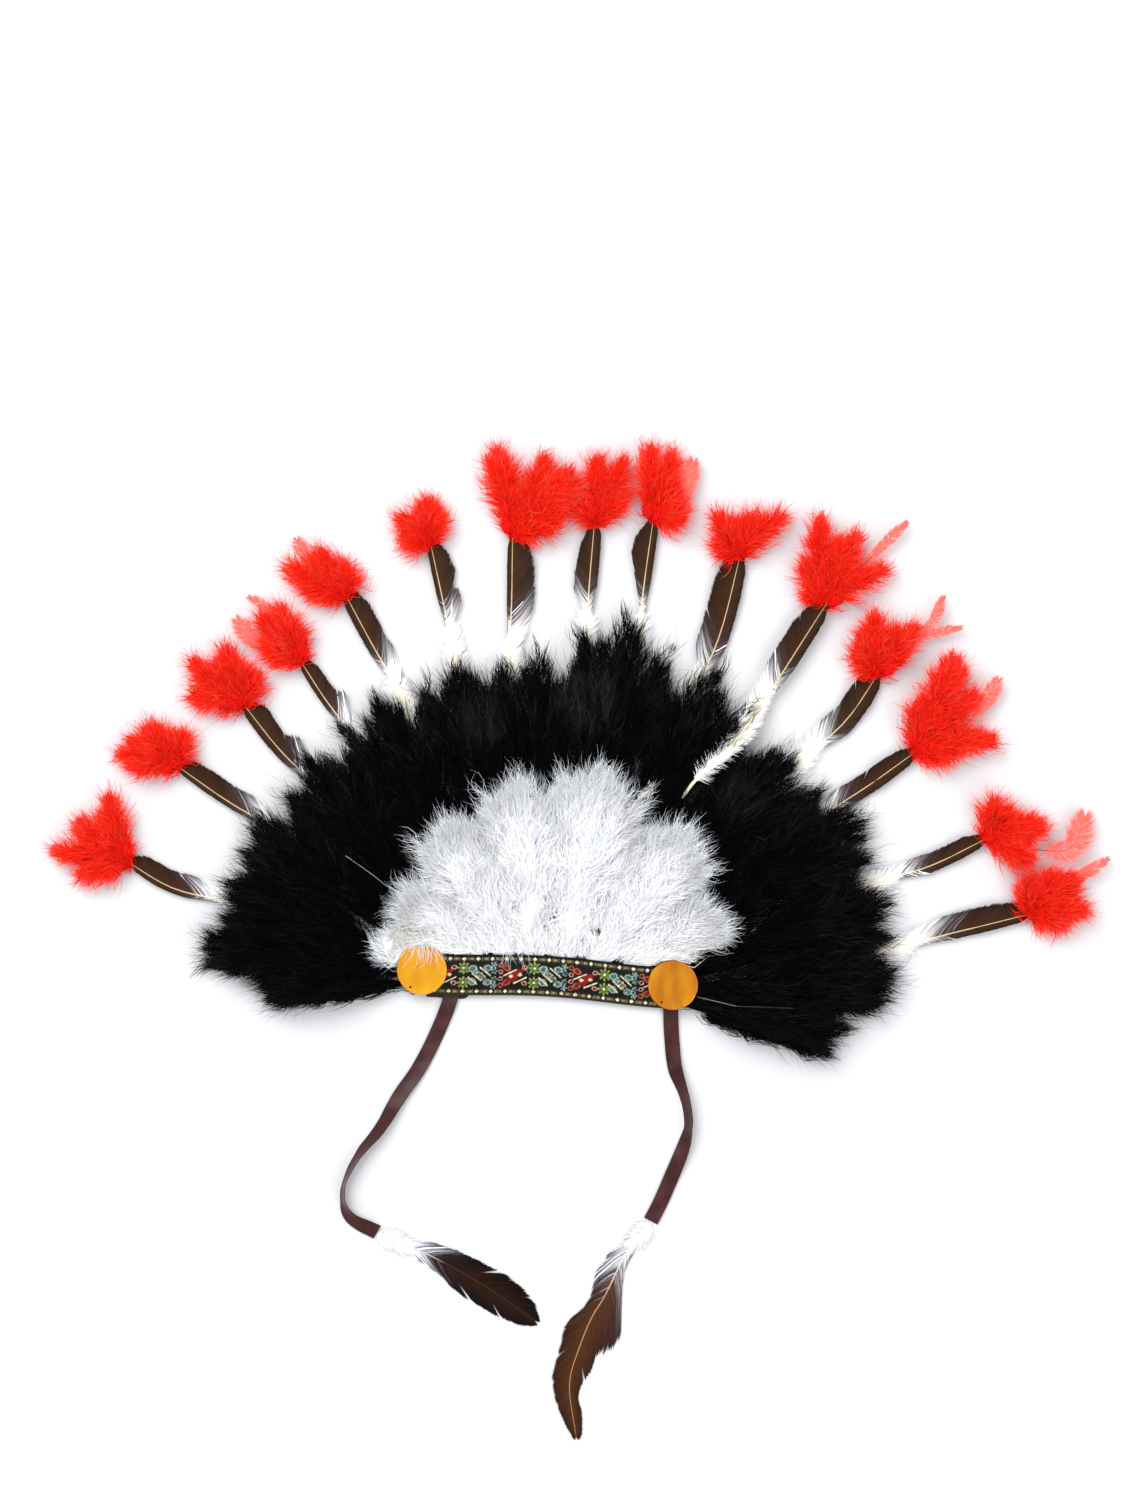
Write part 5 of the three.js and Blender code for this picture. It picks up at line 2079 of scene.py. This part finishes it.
@dataclass
class Brow:
    """The band, its backing and its two discs."""

    def build(self) -> None:
        backing = BackingStrip()
        strip, length = backing.build(), 2 * BAND_HALF_LENGTH * MM
        band = BrowBand().build()
        BrowDisc("disc_left", -1, (222, 144, 4), (238, 168, 22)).build()
        # The right disc's deeper gold is painted shade; it is the same sequin as the left one.
        BrowDisc("disc_right", 1, (192, 110, 0), (214, 138, 6)).build()


@dataclass
class Ties:
    """Both ribbons and the feathers that hang on them."""

    def build(self, material: Material) -> None:
        """Builds the ribbons and tie feathers.

        Args:
            material: The vanes' material.
        """
        TieRibbon("tie_ribbon_left", LEFT_ROUTE).build()
        TieRibbon("tie_ribbon_right", RIGHT_ROUTE).build()
        LEFT_TIE.build(material)
        RIGHT_TIE.build(material)


@dataclass
class Crown:
    """The long feathers and the red puff at each one's tip."""

    def puff(self, node: str, tip: tuple[float, float], puff: Puff, seed: int) -> Gathering:
        """Grows a red puff round a feather's tip.

        Args:
            node: Its CAD node.
            tip: Where the feather's tip is.
            puff: Its lobes and hackles.
            seed: The seed of its chance.

        Returns:
            Its body, lobes and hackles.
        """
        rng = np.random.default_rng(seed)
        corners, triangles = cad_skin(node)
        gathering = Gathering()
        hub = np.array([tip[0], tip[1], 5.0])
        # The body's deeper red is painted shade under the barbs.
        gathering.add(hub + (corners - hub) * (0.5, 0.5, 0.6), triangles, linear(RED_LOOK.core))
        for lobe in (*puff.lobes, *puff.fillers()):
            for barbs in self.lobe(hub, lobe, rng):
                gathering.add_barbs(barbs)
        for hackle in puff.hackles:
            self.hackle(gathering, hackle, rng)
        return gathering

    def lobe(self, hub: Array, lobe: tuple[float, float], rng: Rng) -> tuple[Barbs, Barbs]:
        """Grows one lobe of a puff: tufts that open from a soft stem.

        Args:
            hub: Where the stem starts.
            lobe: Its bearing and how far it reaches.
            rng: The random source.

        Returns:
            The tufts' barbs and the wisps.
        """
        bearing, reach = lobe
        stem = Stem(hub, bearing, max(reach - 10, 8), rng.normal(0, 8))
        share, place, way = stem.roots(int(reach * LOBE_TUFTS), 0.0, rng)
        length = rng.uniform(*RED_LOOK.length, len(share)) * (0.7 + 0.4 * np.sin(np.pi * share))
        tufts = tufted(RED_LOOK, place, way, length, rng)
        _, place, way = stem.roots(int(reach * LOBE_WISPS), 0.2, rng)
        return tufts, wispy(RED_LOOK, place + way * 5, way, rng)

    def hackle(self, gathering: Gathering, hackle: Hackle, rng: Rng) -> None:
        """Adds a small soft feather that curls out of a puff.

        Args:
            gathering: The puff.
            hackle: Its course and width.
            rng: The random source.
        """
        course = Course([(x, y, z) for (x, y), z in zip(hackle.stops, HACKLE_HEIGHTS)])
        quill, rib = linear((214, 40, 34)), linear((232, 90, 80))
        gathering.add_tube(course, np.linspace(0.35, 0.12, 10), quill, rib, 4)
        count = int(course.length * 10)
        at = course.length * (0.18 + 0.82 * rng.random(count) ** 0.75)
        share = at / course.length
        foot, forward = course.at(at), course.along(at)
        sign = rng.choice([-1, 1], count)
        outward = unit(np.cross(UP, forward)) * sign[:, None]
        angle = np.radians(rng.normal(50, 8, count) - 20 * smooth(share, 0.7, 1))
        fullness = 0.55 + 0.6 * np.sin(np.pi * np.clip(share, 0, 1) ** 1.5)
        length = 1.3 * hackle.width * fullness * rng.uniform(0.75, 1.1, count)
        end = foot + leaning(forward, outward, angle) * length[:, None]
        end[:, 2] += rng.uniform(-0.8, 0.8, count)
        bow = forward * (-0.1 * length)[:, None]
        tint = linear((252, 112, 100)) * rng.uniform(0.8, 1.1, count)[:, None]
        gathering.add_barbs(
            Barbs(foot, end, bow, rng.uniform(0.2, 0.42, count), rng.normal(0, 0.3, count), tint, tint)
        )

    def build(self, vane: Material, red: Material) -> None:
        """Builds every feather and puff.

        Args:
            vane: The vanes' material.
            red: The puffs' material.
        """
        for index, row in enumerate(OUTER_FEATHERS):
            node, puff = f"outer_feather_{index + 1:02d}", f"red_tip_{index + 1:02d}"
            root_x = ROOT_SPAN * (2 * index / (len(OUTER_FEATHERS) - 1) - 1)
            feather = row.feather(node, root_x, OUTER_TINTS)
            gathering = feather.gather(np.random.default_rng(300 + index))
            settle(gathering.build(f"{node}_vane", vane), node)
            down = self.puff(puff, row.tip, PUFFS[index], 400 + index)
            settle(down.build(f"{puff}_down", red), puff)


@dataclass
class Studio:
    """A pale table top, soft light from above and a camera that looks straight down."""

    aim: tuple[float, float] = (7.52, 152.2)
    view_height: float = 1000.0
    lens: float = 85.0
    sensor: float = 36.0
    turn: float = 3.45
    level: float = 8.0

    def build(self) -> None:
        """Sets up the table top, the lights and the camera."""
        self.table()
        self.lights()
        self.camera()
        bpy.context.scene.view_settings.view_transform = "Standard"

    def table(self) -> None:
        """Adds the table top."""
        bpy.ops.mesh.primitive_plane_add(size=6, location=(0, 0, 0))
        top = bpy.context.object
        top.name = "table_top"
        nodes = Nodes("table_white")
        nodes.base(nodes.ramp(nodes.noise(30), 0, (205, 205, 207), 1, (207, 207, 209)))
        nodes.shader.inputs["Roughness"].default_value = 0.8
        top.data.materials.append(nodes.material)

    def lights(self) -> None:
        """Adds a large soft light overhead, a softer one from the side and an even surround."""
        for name, place, size, power in (
            ("key", (-0.9, 1.1, 1.9), 1.6, 48.0),
            ("fill", (1.3, -0.6, 1.6), 1.4, 14.0),
        ):
            data = bpy.data.lights.new(name, "AREA")
            data.shape, data.size, data.energy = "SQUARE", size, power
            lamp = bpy.data.objects.new(name, data)
            lamp.location = place
            to = np.array([0.02, 0.1, 0.0]) - np.array(place)
            tilt = math.acos(-to[2] / np.linalg.norm(to))
            lamp.rotation_euler = (tilt, 0, math.atan2(to[0], -to[1]) + math.pi)
            bpy.context.scene.collection.objects.link(lamp)
        world = bpy.data.worlds.new("surround")
        world.use_nodes = True
        background = next(n for n in world.node_tree.nodes if n.type == "BACKGROUND")
        background.inputs["Color"].default_value = (0.97, 0.98, 1.0, 1)
        background.inputs["Strength"].default_value = 1.0
        bpy.context.scene.world = world

    def camera(self) -> None:
        """Adds the camera straight above the table."""
        data = bpy.data.cameras.new("camera")
        data.sensor_fit = "VERTICAL"
        data.sensor_height, data.lens = self.sensor, self.lens
        eye = bpy.data.objects.new("camera", data)
        height = self.level + self.view_height * self.lens / self.sensor
        eye.location = (self.aim[0] * MM, self.aim[1] * MM, height * MM)
        eye.rotation_euler = (0, 0, math.radians(self.turn))
        bpy.context.scene.collection.objects.link(eye)
        bpy.context.scene.camera = eye


def main() -> None:
    """Builds the headdress piece by piece."""
    logging.basicConfig(level=logging.INFO, format="%(name)s: %(message)s")
    bpy.ops.object.select_all(action="DESELECT")
    Studio().build()
    black = BarbFinish("black_down", 0.5, 0.04).material()
    white = BarbFinish("white_down", 0.7, 0.25, 0.2, contrast=0.03).material()
    red = BarbFinish("red_down", 0.65, 0.1, contrast=0.08).material()
    vane = BarbFinish("brown_vane", 0.5, 0.06, grain=1200, contrast=0.16).material()
    Brow().build()
    Ties().build(vane)
    Crown().build(vane, red)
    BLACK_FAN.build(black)
    WHITE_FAN.build(white)


if __name__ == "__main__":
    main()
